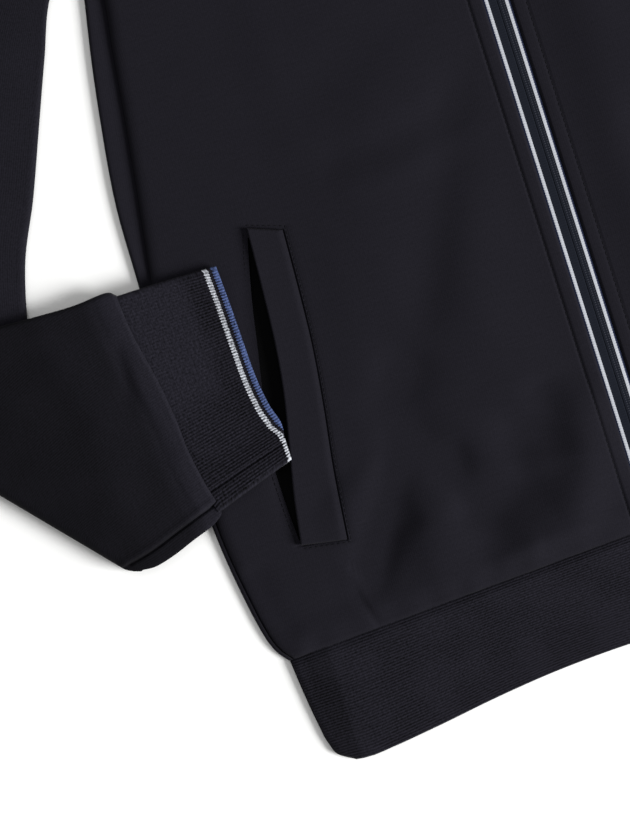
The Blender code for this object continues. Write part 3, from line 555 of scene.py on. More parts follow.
def front_face(side, out, y):
    """The front's face with the furrows of its sewing, its turned edge and its sunken pocket lip."""
    face = front_loft(side, out, y)
    face = face + furrow(out - STITCH_OUT[side], 0.8, STITCH_FURROW[side])
    turned = np.clip((out - ZIP_EDGE[side]) / (STITCH_OUT[side] - ZIP_EDGE[side]), 0, 1)
    face = face + 0.25 * np.sin(np.pi * turned) - 1.1 * quarter_round(out - ZIP_EDGE[side], 1.2)
    distance, _ = path_distance(welt_outline(), out, y)
    face = face + furrow(distance, DITCH_HALF, DITCH_DEPTH)
    distance, _ = path_distance(welt_stitch_path(), out, y)
    face = face + furrow(distance, 0.7, 0.3)
    beyond = np.where(out > lip_out(y) - 0.01, out - lip_out(y), 99.0)
    above_low = ease(y, MOUTH_LOW_Y - 6, MOUTH_LOW_Y + 30)
    below_high = 1 - ease(y, MOUTH_HIGH_Y - 40, MOUTH_HIGH_Y + 4)
    face = face - LIP_DROP * (above_low * below_high) * quarter_round(beyond, LIP_REACH)
    return face + hem_puff(side, out, y - hem_seam_y(out))


def top_edge(share, drop, middle_out, middle_y, neck_share):
    """Neck curve and shoulder seam, from the middle (share 0) to the shoulder point, lowered by drop."""
    turn = np.clip(share / neck_share, 0, 1) * math.pi / 2
    slide = np.clip((share - neck_share) / (1 - neck_share), 0, 1)
    out = middle_out + (NECK_POINT[0] - middle_out) * np.sin(turn)
    out = out + slide * (side_out(SHOULDER_Y - drop) - NECK_POINT[0])
    y = middle_y + (NECK_POINT[1] - middle_y) * (1 - np.cos(turn)) + slide * (SHOULDER_Y - NECK_POINT[1])
    return out, y - drop


def panel_plan(side_y, share_of_row, roll, middle_out, middle_y):
    """Plan of a panel's grid, each row's drop from the top edge, and each point's share of its row.

    Rows are straight below the armpit and take on the top edge's curve above it.
    """
    drops = roll * (1 - np.cos(np.radians(ROLL_ANGLES)))
    rows = np.append(side_y, SHOULDER_Y - roll)[:, None]
    share = share_of_row(rows)
    neck_share = share[-1, np.searchsorted(share[-1], 0.37)]
    straight_y = smooth(
        (HEM_SEAM_SIDE_Y, -255.0, 150.0, SHOULDER_Y - roll),
        (hem_seam_y(middle_out), -255.0, 150.0, middle_y - roll),
        rows,
    )
    out = middle_out + share * (side_out(rows) - middle_out)
    y = straight_y + share * (rows - straight_y)
    top_share = share[-1:]
    top_out, top_y = top_edge(top_share, roll, middle_out, middle_y, neck_share)
    line_out = middle_out + top_share * (side_out(SHOULDER_Y - roll) - middle_out)
    line_y = middle_y - roll + top_share * (SHOULDER_Y - middle_y)
    bend = ease(rows, ARMPIT_Y - 20, SHOULDER_Y - roll)
    out = out + bend * (top_out - line_out)
    y = y + bend * (top_y - line_y)
    tops = [top_edge(share[-1], drop, middle_out, middle_y, neck_share) for drop in drops]
    out = np.vstack([out] + [top[0][None] for top in tops])
    y = np.vstack([y] + [top[1][None] for top in tops])
    share = np.vstack([share] + [share[-1:]] * len(drops))
    row_y = np.append(rows[:, 0], SHOULDER_Y - drops)[:, None]
    row_drop = np.append(np.full(len(rows), roll), drops)[:, None]
    return out, y, share, row_y, row_drop, neck_share


def add_front(side, finish):
    """A front: its face, its roll at the side and shoulder seams, and the pocket's cut."""
    zip_edge, stitch = ZIP_EDGE[side], STITCH_OUT[side]
    side_y = runs(
        (HEM_SEAM_SIDE_Y, -303.0, 7),
        (-303.0, -257.0, 19),
        (-257.0, MOUTH_LOW_Y, 16),
        (MOUTH_LOW_Y, -88.0, 56),
        (-88.0, -74.0, 20),
        (-74.0, ARMPIT_Y, 62),
        (ARMPIT_Y, SHOULDER_Y - FRONT_ROLL - 3, 50),
    )
    counts = (7, 10, 46, 12, 4, 6, 12) + (1,) * len(ROLL_ANGLES)

    def share_of_row(y):
        edge = side_out(y)
        drops = FRONT_ROLL * (1 - np.cos(np.radians((90.0, *ROLL_ANGLES))))
        lines = [out + 0 * y for out in (zip_edge, stitch - 2.5, stitch + 2.5)]
        lines += [welt_seam_out(y) - 3, welt_seam_out(y) + 3]
        lines += [free_edge_out(y) - MOUTH_UNDER_WELT, lip_out(y)]
        lines += [edge - drop for drop in drops]
        parts = [
            start + (end - start) * np.arange(count) / count
            for start, end, count in zip(lines[:-1], lines[1:], counts)
        ]
        return (np.hstack(parts + [lines[-1]]) - zip_edge) / (edge - zip_edge)

    out, y, share, row_y, row_drop, neck_share = panel_plan(
        side_y, share_of_row, FRONT_ROLL, zip_edge, NECK_FRONT_Y
    )
    at_side = np.clip(1 - (side_out(row_y) - out) / FRONT_ROLL, 0, 1)
    at_side = at_side * (1 - ease(row_y, ARMPIT_Y - 8, ARMPIT_Y + 12))
    at_top = np.clip(1 - row_drop / FRONT_ROLL, 0, 1) * (share >= neck_share - 1e-6)
    down = 1 - np.sqrt(1 - at_side**2) * np.sqrt(1 - at_top**2)
    face = front_face(side, out, y)
    z = face - (face - SIDE_LIFT - SEAM_GAP / 2) * down
    inner_z = np.minimum(front_loft(side, out, y), face + 0.6) - JERSEY
    inner_z = inner_z - (inner_z - SIDE_LIFT - SEAM_GAP / 2) * down
    inner_z = np.minimum(inner_z, z - 0.4 * (1 - down) - 0.02)
    outer = placed(side, out, y, z)
    inner = placed(side, out - JERSEY * at_side, y - JERSEY * at_top, inner_z)
    keep = np.ones((out.shape[0] - 1, out.shape[1] - 1), bool)
    in_mouth = (row_y[:-1, 0] >= MOUTH_LOW_Y - 0.01) & (row_y[:-1, 0] < MOUTH_HIGH_Y)
    first = sum(counts[:5])
    keep[in_mouth, first : first + counts[5]] = False
    uv = flat_uv(side * out, y)
    return add_wall(f"front_{SIDE_NAMES[side]}_cloth", outer, inner, uv, finish, keep=keep)


def add_back(finish):
    """The back: flat where it lies, and folded round the sides to the fronts' edges."""
    top_y = SHOULDER_Y - BACK_ROLL - 3
    side_y = runs((HEM_SEAM_SIDE_Y, -293.0, 10), (-293.0, WRAP_TOP_Y, 90), (WRAP_TOP_Y, top_y, 36))
    flat_columns = 16
    turn = np.radians(np.linspace(-75.0, 90.0, 12))
    below = turn <= 0

    def share_of_row(y):
        flat = side_out(y) + strip_width(y) - WRAP_ROLLS[0]
        return flat * np.linspace(0, 1, flat_columns) / side_out(y)

    out, y, share, row_y, row_drop, neck_share = panel_plan(side_y, share_of_row, BACK_ROLL, 0.0, NECK_BACK_Y)
    at_top = np.clip(1 - row_drop / BACK_ROLL, 0, 1) * (share >= neck_share - 1e-6)
    up = 1 - np.sqrt(1 - at_top**2)
    edge = side_out(row_y)
    silhouette = edge + strip_width(row_y)
    roll = np.where(below, *WRAP_ROLLS)
    half_loft = WRAP_LOFT / 2
    inwards = np.linspace(0.2, 1.0, 6)
    grids = []
    for inset in (0.0, JERSEY):
        curl_out = silhouette - roll + (roll - inset) * np.cos(turn)
        strip_out = curl_out[:, -1:] + inwards * (edge + WRAP_GAP - curl_out[:, -1:])
        fold_out = np.hstack([curl_out, strip_out])
        curl_z = half_loft + (half_loft - inset) * np.sin(turn)
        lean = WRAP_LEAN * np.append(0 * turn, inwards)
        fold_z = np.append(curl_z, 0 * inwards + WRAP_LOFT - inset) - lean
        slope = y[:, -1:] - y[:, -2:-1]
        slope = slope / np.maximum(out[:, -1:] - out[:, -2:-1], 1.0)
        fold_y = y[:, -1:] + slope * (fold_out - out[:, -1:])
        all_out = np.hstack([out, fold_out])
        all_y = np.hstack([y - inset * at_top, fold_y])
        z = (SIDE_LIFT - SEAM_GAP / 2) * up + inset * (1 - up)
        z = np.hstack([z, np.broadcast_to(fold_z, (len(z), len(fold_z)))])
        right, left = (placed(side, all_out, all_y, z) for side in (RIGHT, LEFT))
        grids.append(np.hstack([right[:, :0:-1], left]))
    outer, inner = grids
    around = girth(outer)
    keep = np.ones((outer.shape[0] - 1, outer.shape[1] - 1), bool)
    above_wrap = row_y[:-1, 0] >= WRAP_TOP_Y
    fold_columns = outer.shape[1] // 2 - flat_columns + 1
    keep[above_wrap, :fold_columns] = False
    keep[above_wrap, -fold_columns:] = False
    return add_wall("back_cloth", outer, inner, flat_uv(around, outer[..., 1]), finish, keep=keep)


# Pockets


def add_welt(side, finish):
    """A folded strip on the front's face, with round edges: its height falls off in a quarter circle."""
    length, width = MOUTH[-1].y - MOUTH[0].y, WELT_WIDTH
    near = np.array([0.0, 0.12, 0.3, 0.55, 0.8, 1.1, 1.4, 1.8])
    along = np.concatenate([near / length, np.linspace(0.018, 0.982, 60), 1 - near[::-1] / length])[:, None]
    across = np.concatenate([near / width, np.linspace(0.13, 0.87, 12), 1 - near[::-1] / width])[None, :]
    free_y = MOUTH[0].y + along * length
    seam_y = WELT_SEAM[0].y + along * (WELT_SEAM[-1].y - WELT_SEAM[0].y)
    seam_out = welt_seam_out(seam_y)
    out = free_edge_out(free_y) + across * (seam_out - free_edge_out(free_y))
    y = free_y + across * (seam_y - free_y)
    bottom = front_loft(side, out, y) + SEAM_GAP + WELT_LIFT * (1 - across) ** 1.6
    to_seam, to_end = (1 - across) * width, np.minimum(along, 1 - along) * length
    sunk = WELT_THICKNESS + SEAM_GAP - 0.25
    drop = sunk * np.maximum(1 - ease(to_seam, -1.5, 3.0), quarter_round(np.minimum(to_seam, to_end), 1.2))
    fold = quarter_round(across * width, WELT_ROUNDING) * (WELT_THICKNESS / 2 - 0.05)
    top = bottom + WELT_THICKNESS - np.maximum(drop, fold)
    bottom = bottom - np.minimum(drop, 0.9) + fold * 0.9
    bottom = np.minimum(bottom, top - 0.08)
    upper, lower = placed(side, out, y, top), placed(side, out, y, bottom)
    return add_wall(f"welt_{SIDE_NAMES[side]}_cloth", upper, lower, flat_uv(side * out, y), finish)


BAG_THICKNESS, BAG_WIDTH, BAG_HEIGHT = 0.9, 96.0, 206.0
BAG_OUTER, BAG_MIDDLE_Y, BAG_BOTTOM = 198.0, -165.0, 2.0


def add_pocket_bag(side, finish):
    """The layer that shows in the mouth: a rounded oblong, slightly creased by two slanting waves."""
    along = np.linspace(-1, 1, 60)[:, None]
    across = np.linspace(-1, 1, 34)[None, :]
    out = BAG_OUTER - BAG_WIDTH / 2 * (1 - across * (1 - 0.12 * along**4))
    y = BAG_MIDDLE_Y + along * BAG_HEIGHT / 2 * (1 - 0.04 * across**4)
    crease = 0.1 * np.sin(out / 7.0 + y / 19.0) + 0.06 * np.sin(y / 11.0 - out / 23.0)
    rim = quarter_round(np.minimum(1 - abs(across), 1 - abs(along)) * BAG_WIDTH / 2, 0.8)
    top = BAG_BOTTOM + BAG_THICKNESS + crease - 0.3 * rim
    upper, lower = placed(side, out, y, top), placed(side, out, y, top - BAG_THICKNESS + 0.3 * rim)
    return add_wall(f"pocket_bag_{SIDE_NAMES[side]}_cloth", upper, lower, flat_uv(out, y), finish)


# Sleeves and cuffs


def tube_section(flat, end_points):
    """Points round a flattened tube: share of the flat width, cosine and sine on its round ends."""
    turn = np.radians(np.linspace(90, -90, end_points))
    far = np.stack([np.ones(end_points), np.cos(turn), np.sin(turn)])
    near = np.stack([-np.ones(end_points), -np.cos(turn[::-1]), np.sin(turn[::-1])])
    upper = np.stack([-flat, 0 * flat, 1 + 0 * flat])
    lower = np.stack([flat, 0 * flat, -1 + 0 * flat])
    return np.hstack([upper, far, lower, near])


def between(table, places):
    """The table's columns on smooth curves at the places, which count in rows of the table."""
    knots = np.arange(len(table))
    return places, np.stack([smooth(knots, column(table, name), places) for name in Ring._fields], 1)


def tube_grid(rings, up, section, inset, bow, relief):
    """Points of all rings of a flattened tube.

    A ring runs across from its under edge to its over edge. A point lies at its share of the width,
    moved by bow in plan, and at the half depth less inset from the middle along up, plus relief.
    """
    share, cosine, sine = section
    under, over = rings[:, None, 0:2], rings[:, None, 2:4]
    middle_z, depth = rings[:, 4, None], rings[:, 5, None]
    half = np.hypot(*np.moveaxis(over - under, -1, 0)) / 2
    across = share * (half - depth) + cosine * (depth - inset)
    part = (across / half + 1) / 2
    plan = under + part[..., None] * (over - under)
    plan = plan + bow(part)[..., None] * np.array([1.0, 0.0])
    raised = sine * (depth - inset) + relief(part, plan)
    flat = np.dstack([plan, np.broadcast_to(middle_z, part.shape)])
    return flat + raised[..., None] * up[:, None, :]


def around_uv(points):
    """Distance round each ring and along the tube, in millimetres."""
    ring = np.concatenate([points, points[:, :1]], 1)
    around = np.cumsum(np.linalg.norm(np.diff(ring, axis=1), axis=-1), axis=1)
    around = np.hstack([0 * around[:, :1], around])
    along = np.cumsum(np.linalg.norm(np.diff(ring, axis=0), axis=-1), axis=0)
    return flat_uv(around, np.vstack([0 * along[:1], along]))


# On the forearm's upper face; the cloth below the seam lies a step lower
UNDERARM_SEAM = named_rows(
    "out y",
    (224.0, -212.4),
    (234.0, -215.7),
    (248.4, -220.7),
    (267.4, -227.2),
    (280.7, -230.2),
    (288.0, -231.6),
)
UNDERARM_STEP, UNDERARM_LIP = 2.3, 0.4
UNDERARM_FURROW = (0.7, 1.3)  # half width and depth
PUFF_HEIGHT, PUFF_WIDTH = 1.1, 9.5  # the sleeve's end swells above its cuff, where its hem is turned in


# Cosines of the two seams' leans
ACROSS_UNDERARM_SEAM, ACROSS_CUFF_SEAM = 0.95, 0.989


def above_underarm_seam(out, y):
    """Distance from the underarm seam, positive on its upper side."""
    return (y - follow(UNDERARM_SEAM, "out", "y", out)) * ACROSS_UNDERARM_SEAM


def from_cuff_seam(out, y):
    """Distance from the cuff's seam, up the sleeve."""
    end = FOREARM[-1]
    part = np.clip((y - end.under_y) / (end.over_y - end.under_y), 0, 1)
    straight = end.under_out + part * (end.over_out - end.under_out)
    return (out - straight - cuff_seam_bow(part)) * ACROSS_CUFF_SEAM


def forearm_relief(plan):
    """Relief of the forearm's upper face: the step at its underarm seam, its lip and the folds."""
    out, y = plan[..., 0], plan[..., 1]
    above = above_underarm_seam(out, y)
    step = -UNDERARM_STEP * (1 - ease(above, -0.6, 0.5)) + furrow(above + 1.1, *UNDERARM_FURROW)
    lip = UNDERARM_LIP * bell(above - 1.8, 1.5)
    return step + lip + crease_height("forearm", out, y)


def sleeve_uv(outer, on_face, first):
    """Along: up from the cuff's seam. Across: from the underarm seam, positive below it.

    Rings before the first of the forearm carry on from it. on_face says which points of a ring lie
    on the forearm's upper face, where the seam shows.
    """
    uv = around_uv(outer)
    along = from_cuff_seam(outer[..., 0], outer[..., 1])
    along = np.hstack([along, along[:, :1]])
    along[:first] = along[first] + uv[first, :, 1] - uv[:first, :, 1]
    uv[..., 1] = along
    above = above_underarm_seam(outer[:, on_face, 0], outer[:, on_face, 1])
    around = uv[:, :-1, 0][:, on_face]
    seam = np.array([np.interp(0.0, -heights, places) for heights, places in zip(above, around)])
    seam[:first] = seam[first]
    uv[..., 0] -= seam[:, None]
    return uv


def elbow_rings(angles, axis, outwards, corner):
    """The sleeve's rings round its fold: half a circle about the axis, from the lower layer to the upper.

    Their under ends close in on the corner below the fold.
    """
    rings = np.repeat([[*axis.ravel(), 0.0, SLEEVE_DEPTH]], len(angles), 0)
    away = TURN_RADIUS * np.sin(angles)[:, None] * outwards
    rings[:, 0:2] += away
    rings[:, 0:2] += np.abs(np.cos(angles))[:, None] * (corner - axis[0])
    rings[:, 2:4] += away
    rings[:, 4] = SLEEVE_DEPTH + TURN_RADIUS * (1 - np.cos(angles))
    return rings


def add_sleeve(side, finish):
    """A sleeve: the flattened upper arm, the fold at the elbow, and the forearm on top of it."""
    flat = np.concatenate([np.linspace(0.98, -0.74, 46), np.linspace(-0.76, -0.995, 34)])
    section = tube_section(flat, 11)
    share, _, sine = section
    crease = np.array(CREASE_LINE)
    run = (crease[1] - crease[0]) / np.hypot(*(crease[1] - crease[0]))
    outwards = np.array([run[1], -run[0]])
    axis = crease - (TURN_RADIUS + SLEEVE_DEPTH) * outwards
    corner = np.array(FOLD_CORNER)
    start = Ring(*corner, *axis[1], SLEEVE_DEPTH, SLEEVE_DEPTH)
    end = Ring(*corner, *axis[1], FOREARM_Z, SLEEVE_DEPTH)

    places, upper = between((*UPPER_ARM, start), np.linspace(0, len(UPPER_ARM), 64))
    fade = (1 - ease(places, 0.0, 2.5))[:, None]
    angles = np.radians(np.linspace(0, 180, 17)[1:-1])
    turn = elbow_rings(angles, axis, outwards, corner)
    last = len(FOREARM)
    end_places, fore = between((end, *FOREARM), runs((0, last - 2, 56), (last - 2, last, 33)))
    lean = np.column_stack([-np.sin(angles)[:, None] * outwards, np.cos(angles)])
    up = np.array([0.0, 0.0, 1.0])
    to_cuff = ease(end_places, 2.5, last - 0.4)[:, None]
    on_top = ease(angles, 0.6 * np.pi, 0.9 * np.pi)[:, None]

    def armhole_bow(part):
        first = UPPER_ARM[0]
        y = first.under_y + part * (first.over_y - first.under_y)
        straight = first.under_out + part * (first.over_out - first.under_out)
        return (side_out(y) + ARMHOLE_GAP - straight) * fade

    def cuff_bow(part):
        return cuff_seam_bow(part) * to_cuff

    def upper_relief(part, plan):
        return np.maximum(sine, 0) * crease_height("upper_arm", plan[..., 0], plan[..., 1])

    def turn_relief(part, plan):
        return np.minimum(sine, 0) * forearm_relief(plan) * on_top

    def fore_relief(part, plan):
        distance = from_cuff_seam(plan[..., 0], plan[..., 1])
        wander = PUFF_WIDTH + 1.2 * np.sin(plan[..., 1] / 13.0)
        puff = PUFF_HEIGHT * (1 - ease(distance, wander - 2.5, wander + 6.0))
        puff = puff * ease(above_underarm_seam(plan[..., 0], plan[..., 1]), -1.0, 0.0)
        puff = puff - 2.2 * quarter_round(np.maximum(distance, 0), 2.4)
        return np.minimum(sine, 0) * (forearm_relief(plan) + puff)

    grids = []
    for inset in (0.0, JERSEY):
        parts = [
            tube_grid(upper, np.tile(up, (len(upper), 1)), section, inset, armhole_bow, upper_relief),
            tube_grid(turn, lean, section, inset, lambda part: 0 * part, turn_relief),
            tube_grid(fore, np.tile(-up, (len(fore), 1)), section, inset, cuff_bow, fore_relief),
        ]
        grids.append(np.concatenate(parts))
    uv = sleeve_uv(grids[0], (sine < -0.99) & (share < 0.5), len(upper) + len(turn))
    outer, inner = (grid * (side, 1, 1) for grid in grids)
    return add_wall(f"sleeve_{SIDE_NAMES[side]}_cloth", outer, inner, uv, finish, closed=True)


def add_cuff(side, finish):
    """A cuff in 1x1 rib: even ridges run from inside the sleeve's end to its own round edge."""
    section = tube_section(np.linspace(1, -1, CUFF_RIBS * RIB_POINTS + 1)[1:-1], 9)
    share, _, sine = section
    steps = np.array([-0.06, -0.03, *np.linspace(0, 0.955, 24), 0.97, 0.98, 0.988, 0.994, 0.998, 1.0])
    knots = np.linspace(0, 1, len(CUFF))
    rings = np.stack([smooth(knots, column(CUFF, name), np.maximum(steps, 0)) for name in Ring._fields], 1)
    tuck = np.minimum(steps, 0)[:, None]
    rings[:, 0:4] += tuck * (rings[-1, 0:4] - rings[0, 0:4])
    rings[:, 5] += 14.0 * tuck[:, 0]
    edge_drop = quarter_round((1 - steps) * CUFF_LENGTH, 1.8)[:, None]
    wave = 0.5 - 0.5 * np.cos(2 * np.pi * (np.arange(len(sine)) + 1) / RIB_POINTS)
    clear_by_edge = 1 - ease((1 - steps) * CUFF_LENGTH, 14, 24)[:, None]

    def bow(part):
        seam = cuff_seam_bow(part)
        return seam + (cuff_edge_bow(part) - seam) * np.maximum(steps, 0)[:, None]

    def outer_relief(part, plan):
        spread = np.maximum(clear_by_edge, 1 - ease(part, 0.3, 0.5))  # elsewhere the ribs have closed
        ribs = CUFF_RIB_HEIGHT * wave * (0.15 + 0.85 * spread) * (np.abs(sine) > 0.99)
        join = furrow((part - CUFF_JOIN) * 118, 0.9, 1.1) * (sine < -0.99)
        return np.sign(sine) * (ribs + join) - sine * 1.4 * edge_drop

    def inner_relief(part, plan):
        return -sine * 0.4 * edge_drop

    up = np.tile([0.0, 0.0, -1.0], (len(rings), 1))
    outer = tube_grid(rings, up, section, 0.0, bow, outer_relief)
    inner = tube_grid(rings, up, section, RIB, bow, inner_relief)
    lengths = np.linalg.norm(np.diff(outer[::-1], axis=0), axis=-1)
    from_edge = np.vstack([0 * lengths[:1], np.cumsum(lengths, axis=0)])[::-1]
    part = np.clip((share + 1) / 2, 0, 1)
    rolled = CUFF_ROLL * (1 - ease(part, 0.10, 0.19)) + 0.8 * (part < CUFF_JOIN)
    from_edge = from_edge + rolled * (sine < 0)
    from_edge = np.hstack([from_edge, from_edge[:, :1]])
    around = np.append(np.arange(len(sine)) + 1, len(sine) + 1) * RIB_PITCH / RIB_POINTS
    outer, inner = outer * (side, 1, 1), inner * (side, 1, 1)
    uv = flat_uv(around, from_edge)
    return add_wall(f"cuff_{SIDE_NAMES[side]}_cloth", outer, inner, uv, finish, closed=True)


# Hem band and collar


def band_section(half_width, front_points, back_points, inset, zip_edge):
    """out, z and the upward share round half a band: its front, its fold at the side, its back."""
    turn = np.radians(np.linspace(90, -90, 13))
    fold = half_width - BAND_ROLL + (BAND_ROLL - inset) * np.cos(turn)
    half_loft = BAND_LOFT / 2
    fold_z = half_loft + (half_loft - inset) * np.sin(turn)
    front = zip_edge + (half_width - BAND_ROLL - zip_edge) * np.linspace(0, 1, front_points)[:-1]
    back = (half_width - BAND_ROLL) * np.linspace(1, 0, back_points)[1:]
    parts = (front, fold, back)
    out = np.hstack([np.broadcast_to(part, (len(half_width), part.shape[-1])) for part in parts])
    z = np.concatenate([0 * front[0] + BAND_LOFT - inset, fold_z, 0 * back[0] + inset])
    upward = np.concatenate([0 * front[0] + 1, np.maximum(np.sin(turn), 0), 0 * back[0]])
    is_front = np.arange(out.shape[1]) < front.shape[1] + len(turn) // 2
    return out, z, upward, is_front


def whole_band(right, left):
    """Both halves of a band, as one grid from the right side of the zip to the left."""
    return np.hstack([right * (RIGHT, 1, 1), (left * (LEFT, 1, 1))[:, -2::-1]])


def rib_rows(ribs):
    """Rows across a band and each row's ridge height: one cosine wave for each rib.

    Two more rows before the first tuck the band's cloth in below the seam.
    """
    share = np.append((-0.04, -0.02), np.linspace(0, 1, ribs * RIB_POINTS + 1))
    return share, BAND_RIB_HEIGHT * (0.5 - 0.5 * np.cos(2 * np.pi * share * ribs))


def add_band(piece, finish, ribs, half_width, front_points, depth, sunk, plan):
    """A band whose fine ridges run along it and round its sides.

    plan(side, out, is_front) gives the y of its seam and of its edge. The face sinks by sunk's first
    number towards the seam, between its other two as distances from the seam, and is round at its
    edge and at the zip. The hem's face also falls off towards its sides.
    """
    share, ridge = rib_rows(ribs)
    from_seam = depth * share[:, None]
    low, start, end = sunk
    drop = low * (1 - ease(from_seam, start, end))
    drop = drop + BAND_ROUNDING * quarter_round(depth - from_seam, 1.8)
    is_hem = piece == "hem_band"
    grids = []
    for inset in (0.0, RIB):
        halves = []
        for side in (RIGHT, LEFT):
            out, z, upward, is_front = band_section(half_width, front_points, 16, inset, ZIP_EDGE[side])
            seam, edge = plan(side, out, is_front)
            y = seam + share[:, None] * (edge - seam)
            if inset == 0:
                at_zip = BAND_ROUNDING * quarter_round(out - ZIP_EDGE[side], 1.4) * is_front
                z = z + upward * (ridge[:, None] - drop) - at_zip
            if is_hem:
                z = z - is_front * HEM_SIDE_SLOPE * (1 - ease(half_width - out, -12.0, 19.0))
            halves.append(np.dstack([out, y, np.broadcast_to(z, out.shape)]))
        grids.append(whole_band(*halves))
    around = girth(grids[0])
    if is_hem:
        around = np.minimum(around, around[:, -1:] - around)  # from the nearer end of the band
    return add_wall(f"{piece}_cloth", *grids, flat_uv(around, ribs * BAND_PITCH * share[:, None]), finish)


def add_hem_band(finish):
    """The hem runs from its straight seam to its lower edge, which hangs lowest near the sides."""
    share, _ = rib_rows(HEM_RIBS)
    half_width = follow(HEM_ROWS, "share", "half_width", share)[:, None] - 2.0 * (share < 0)[:, None]

    def plan(side, out, is_front):
        return hem_seam_y(out) - SEAM_GAP, hem_edge_y(out)

    return add_band("hem_band", finish, HEM_RIBS, half_width, 34, 56, (1.7, -1.5, 4.0), plan)


def neck_y(out, middle_out, middle_y):
    """The neck's quarter ellipse, from the middle to the neck point."""
    t = np.clip((out - middle_out) / (NECK_POINT[0] - middle_out), 0, 1)
    return middle_y + (NECK_POINT[1] - middle_y) * (1 - np.sqrt(1 - t**2))


def add_collar(finish):
    """The collar stands flat: it runs from the neck's curve to its top edge, in fine ribs along it."""
    share, _ = rib_rows(COLLAR_RIBS)
    half_width = (NECK_POINT[0] - SEAM_GAP + share * (COLLAR_TOP_OUT - NECK_POINT[0]))[:, None]

    def plan(side, out, is_front):
        across = np.clip((out - ZIP_EDGE[side]) / (half_width - ZIP_EDGE[side]), 0, 1)
        stretched = out * (NECK_POINT[0] - SEAM_GAP) / half_width + SEAM_GAP
        front_seam = neck_y(stretched, ZIP_EDGE[side], NECK_FRONT_Y)
        back_seam = neck_y(stretched, 0.0, NECK_BACK_Y)
        front_top = COLLAR_FRONT_TOP_Y + (COLLAR_SIDE_TOP_Y - COLLAR_FRONT_TOP_Y) * across**1.6
        back_top = COLLAR_BACK_TOP_Y + (COLLAR_SIDE_TOP_Y - COLLAR_BACK_TOP_Y) * (out / half_width) ** 2
        seam = np.where(is_front, front_seam, back_seam) + SEAM_GAP
        return seam, np.where(is_front, front_top, back_top)

    return add_band("collar", finish, COLLAR_RIBS, half_width, 30, 52, (1.1, -1.0, 2.4), plan)


# Zip and sewing


def add_tape(side, finish):
    """A woven tape: its face is level between the fronts and drops where it passes under one."""
    out = np.array([0.1, 0.2, 0.4, *np.linspace(0.8, 6.0, 14), *np.linspace(6.3, 8.0, 5), 10.0, 12.0, 14.0])
    y = np.linspace(TAPE_LOW_Y, TAPE_HIGH_Y, 60)[:, None]
    top = TAPE_UNDER_FRONT + TAPE_RISE * (1 - ease(out, 6.4, 7.6)) - 0.25 * quarter_round(out - 0.1, 0.5)
    top = top + 0.12 * np.exp(-(((out - 5.15) / 1.1) ** 4))  # the striped edge is woven thicker
    uv = flat_uv(out - STRIPE_SHIFT[side], y)
    upper = placed(side, out, y, top)
    lower = placed(side, out, y, np.minimum(top - TAPE_THICKNESS, 3.0))
    return add_wall(f"zip_tape_{SIDE_NAMES[side]}_weave", upper, lower, uv, finish)


def add_beads(name, centres, tangents, size, finish):
    """Small round-ended beads, one at each centre along its tangent, joined in one mesh.

    A bead is three six-sided rings between two points; the rings follow an ellipse. size is its
    length, width and height.
    """
    length, width, height = size
    turn = np.linspace(0, 2 * np.pi, 7)[:-1]
    along = np.array([-0.5, -0.36, 0.0, 0.36, 0.5]) * length
    fullness = np.array([0.02, 0.8, 1.0, 0.8, 0.02])
    a = np.repeat(along, 6)
    b = (fullness[:, None] * np.cos(turn)).ravel() * width / 2
    c = (fullness[:, None] * np.sin(turn)).ravel() * height / 2
    flat = tangents * (1, 1, 0)
    flat = flat / np.linalg.norm(flat, axis=1, keepdims=True)
    sideways = np.column_stack([-flat[:, 1], flat[:, 0], 0 * flat[:, 0]])
    points = centres[:, None, :] + a[:, None] * tangents[:, None, :] + b[:, None] * sideways[:, None, :]
    points = points + c[:, None] * np.array([0.0, 0.0, 1.0])
    index = np.arange(len(a)).reshape(len(along), 6)
    index = np.hstack([index, index[:, :1]])
    cells = cells_of(index).reshape(-1, 4)
    caps = np.array([[0, 5, 4, 3], [0, 3, 2, 1]])
    ends = np.concatenate([caps, caps[:, ::-1] + len(a) - 6])
    bead = np.concatenate([cells, ends])
    faces = (bead[None] + len(a) * np.arange(len(centres))[:, None, None]).reshape(-1, 4)
    points = points.reshape(-1, 3) - (0, MIDDLE_Y, 0)
    uv = points[:, :2]
    return add_mesh(name, points, faces, faces, uv, finish, sharp=80.0)


def along_path(path, pitch):
    """Centres and unit tangents along a path of points, a pitch apart."""
    steps = np.diff(path, axis=0)
    reached = np.concatenate([[0], np.cumsum(np.linalg.norm(steps, axis=1))])
    at = np.arange(pitch / 2, reached[-1], pitch)
    centres = np.column_stack([np.interp(at, reached, path[:, k]) for k in range(3)])
    which = np.clip(np.searchsorted(reached, at) - 1, 0, len(steps) - 1)
    tangents = steps[which] / np.linalg.norm(steps[which], axis=1, keepdims=True)
    return centres, tangents


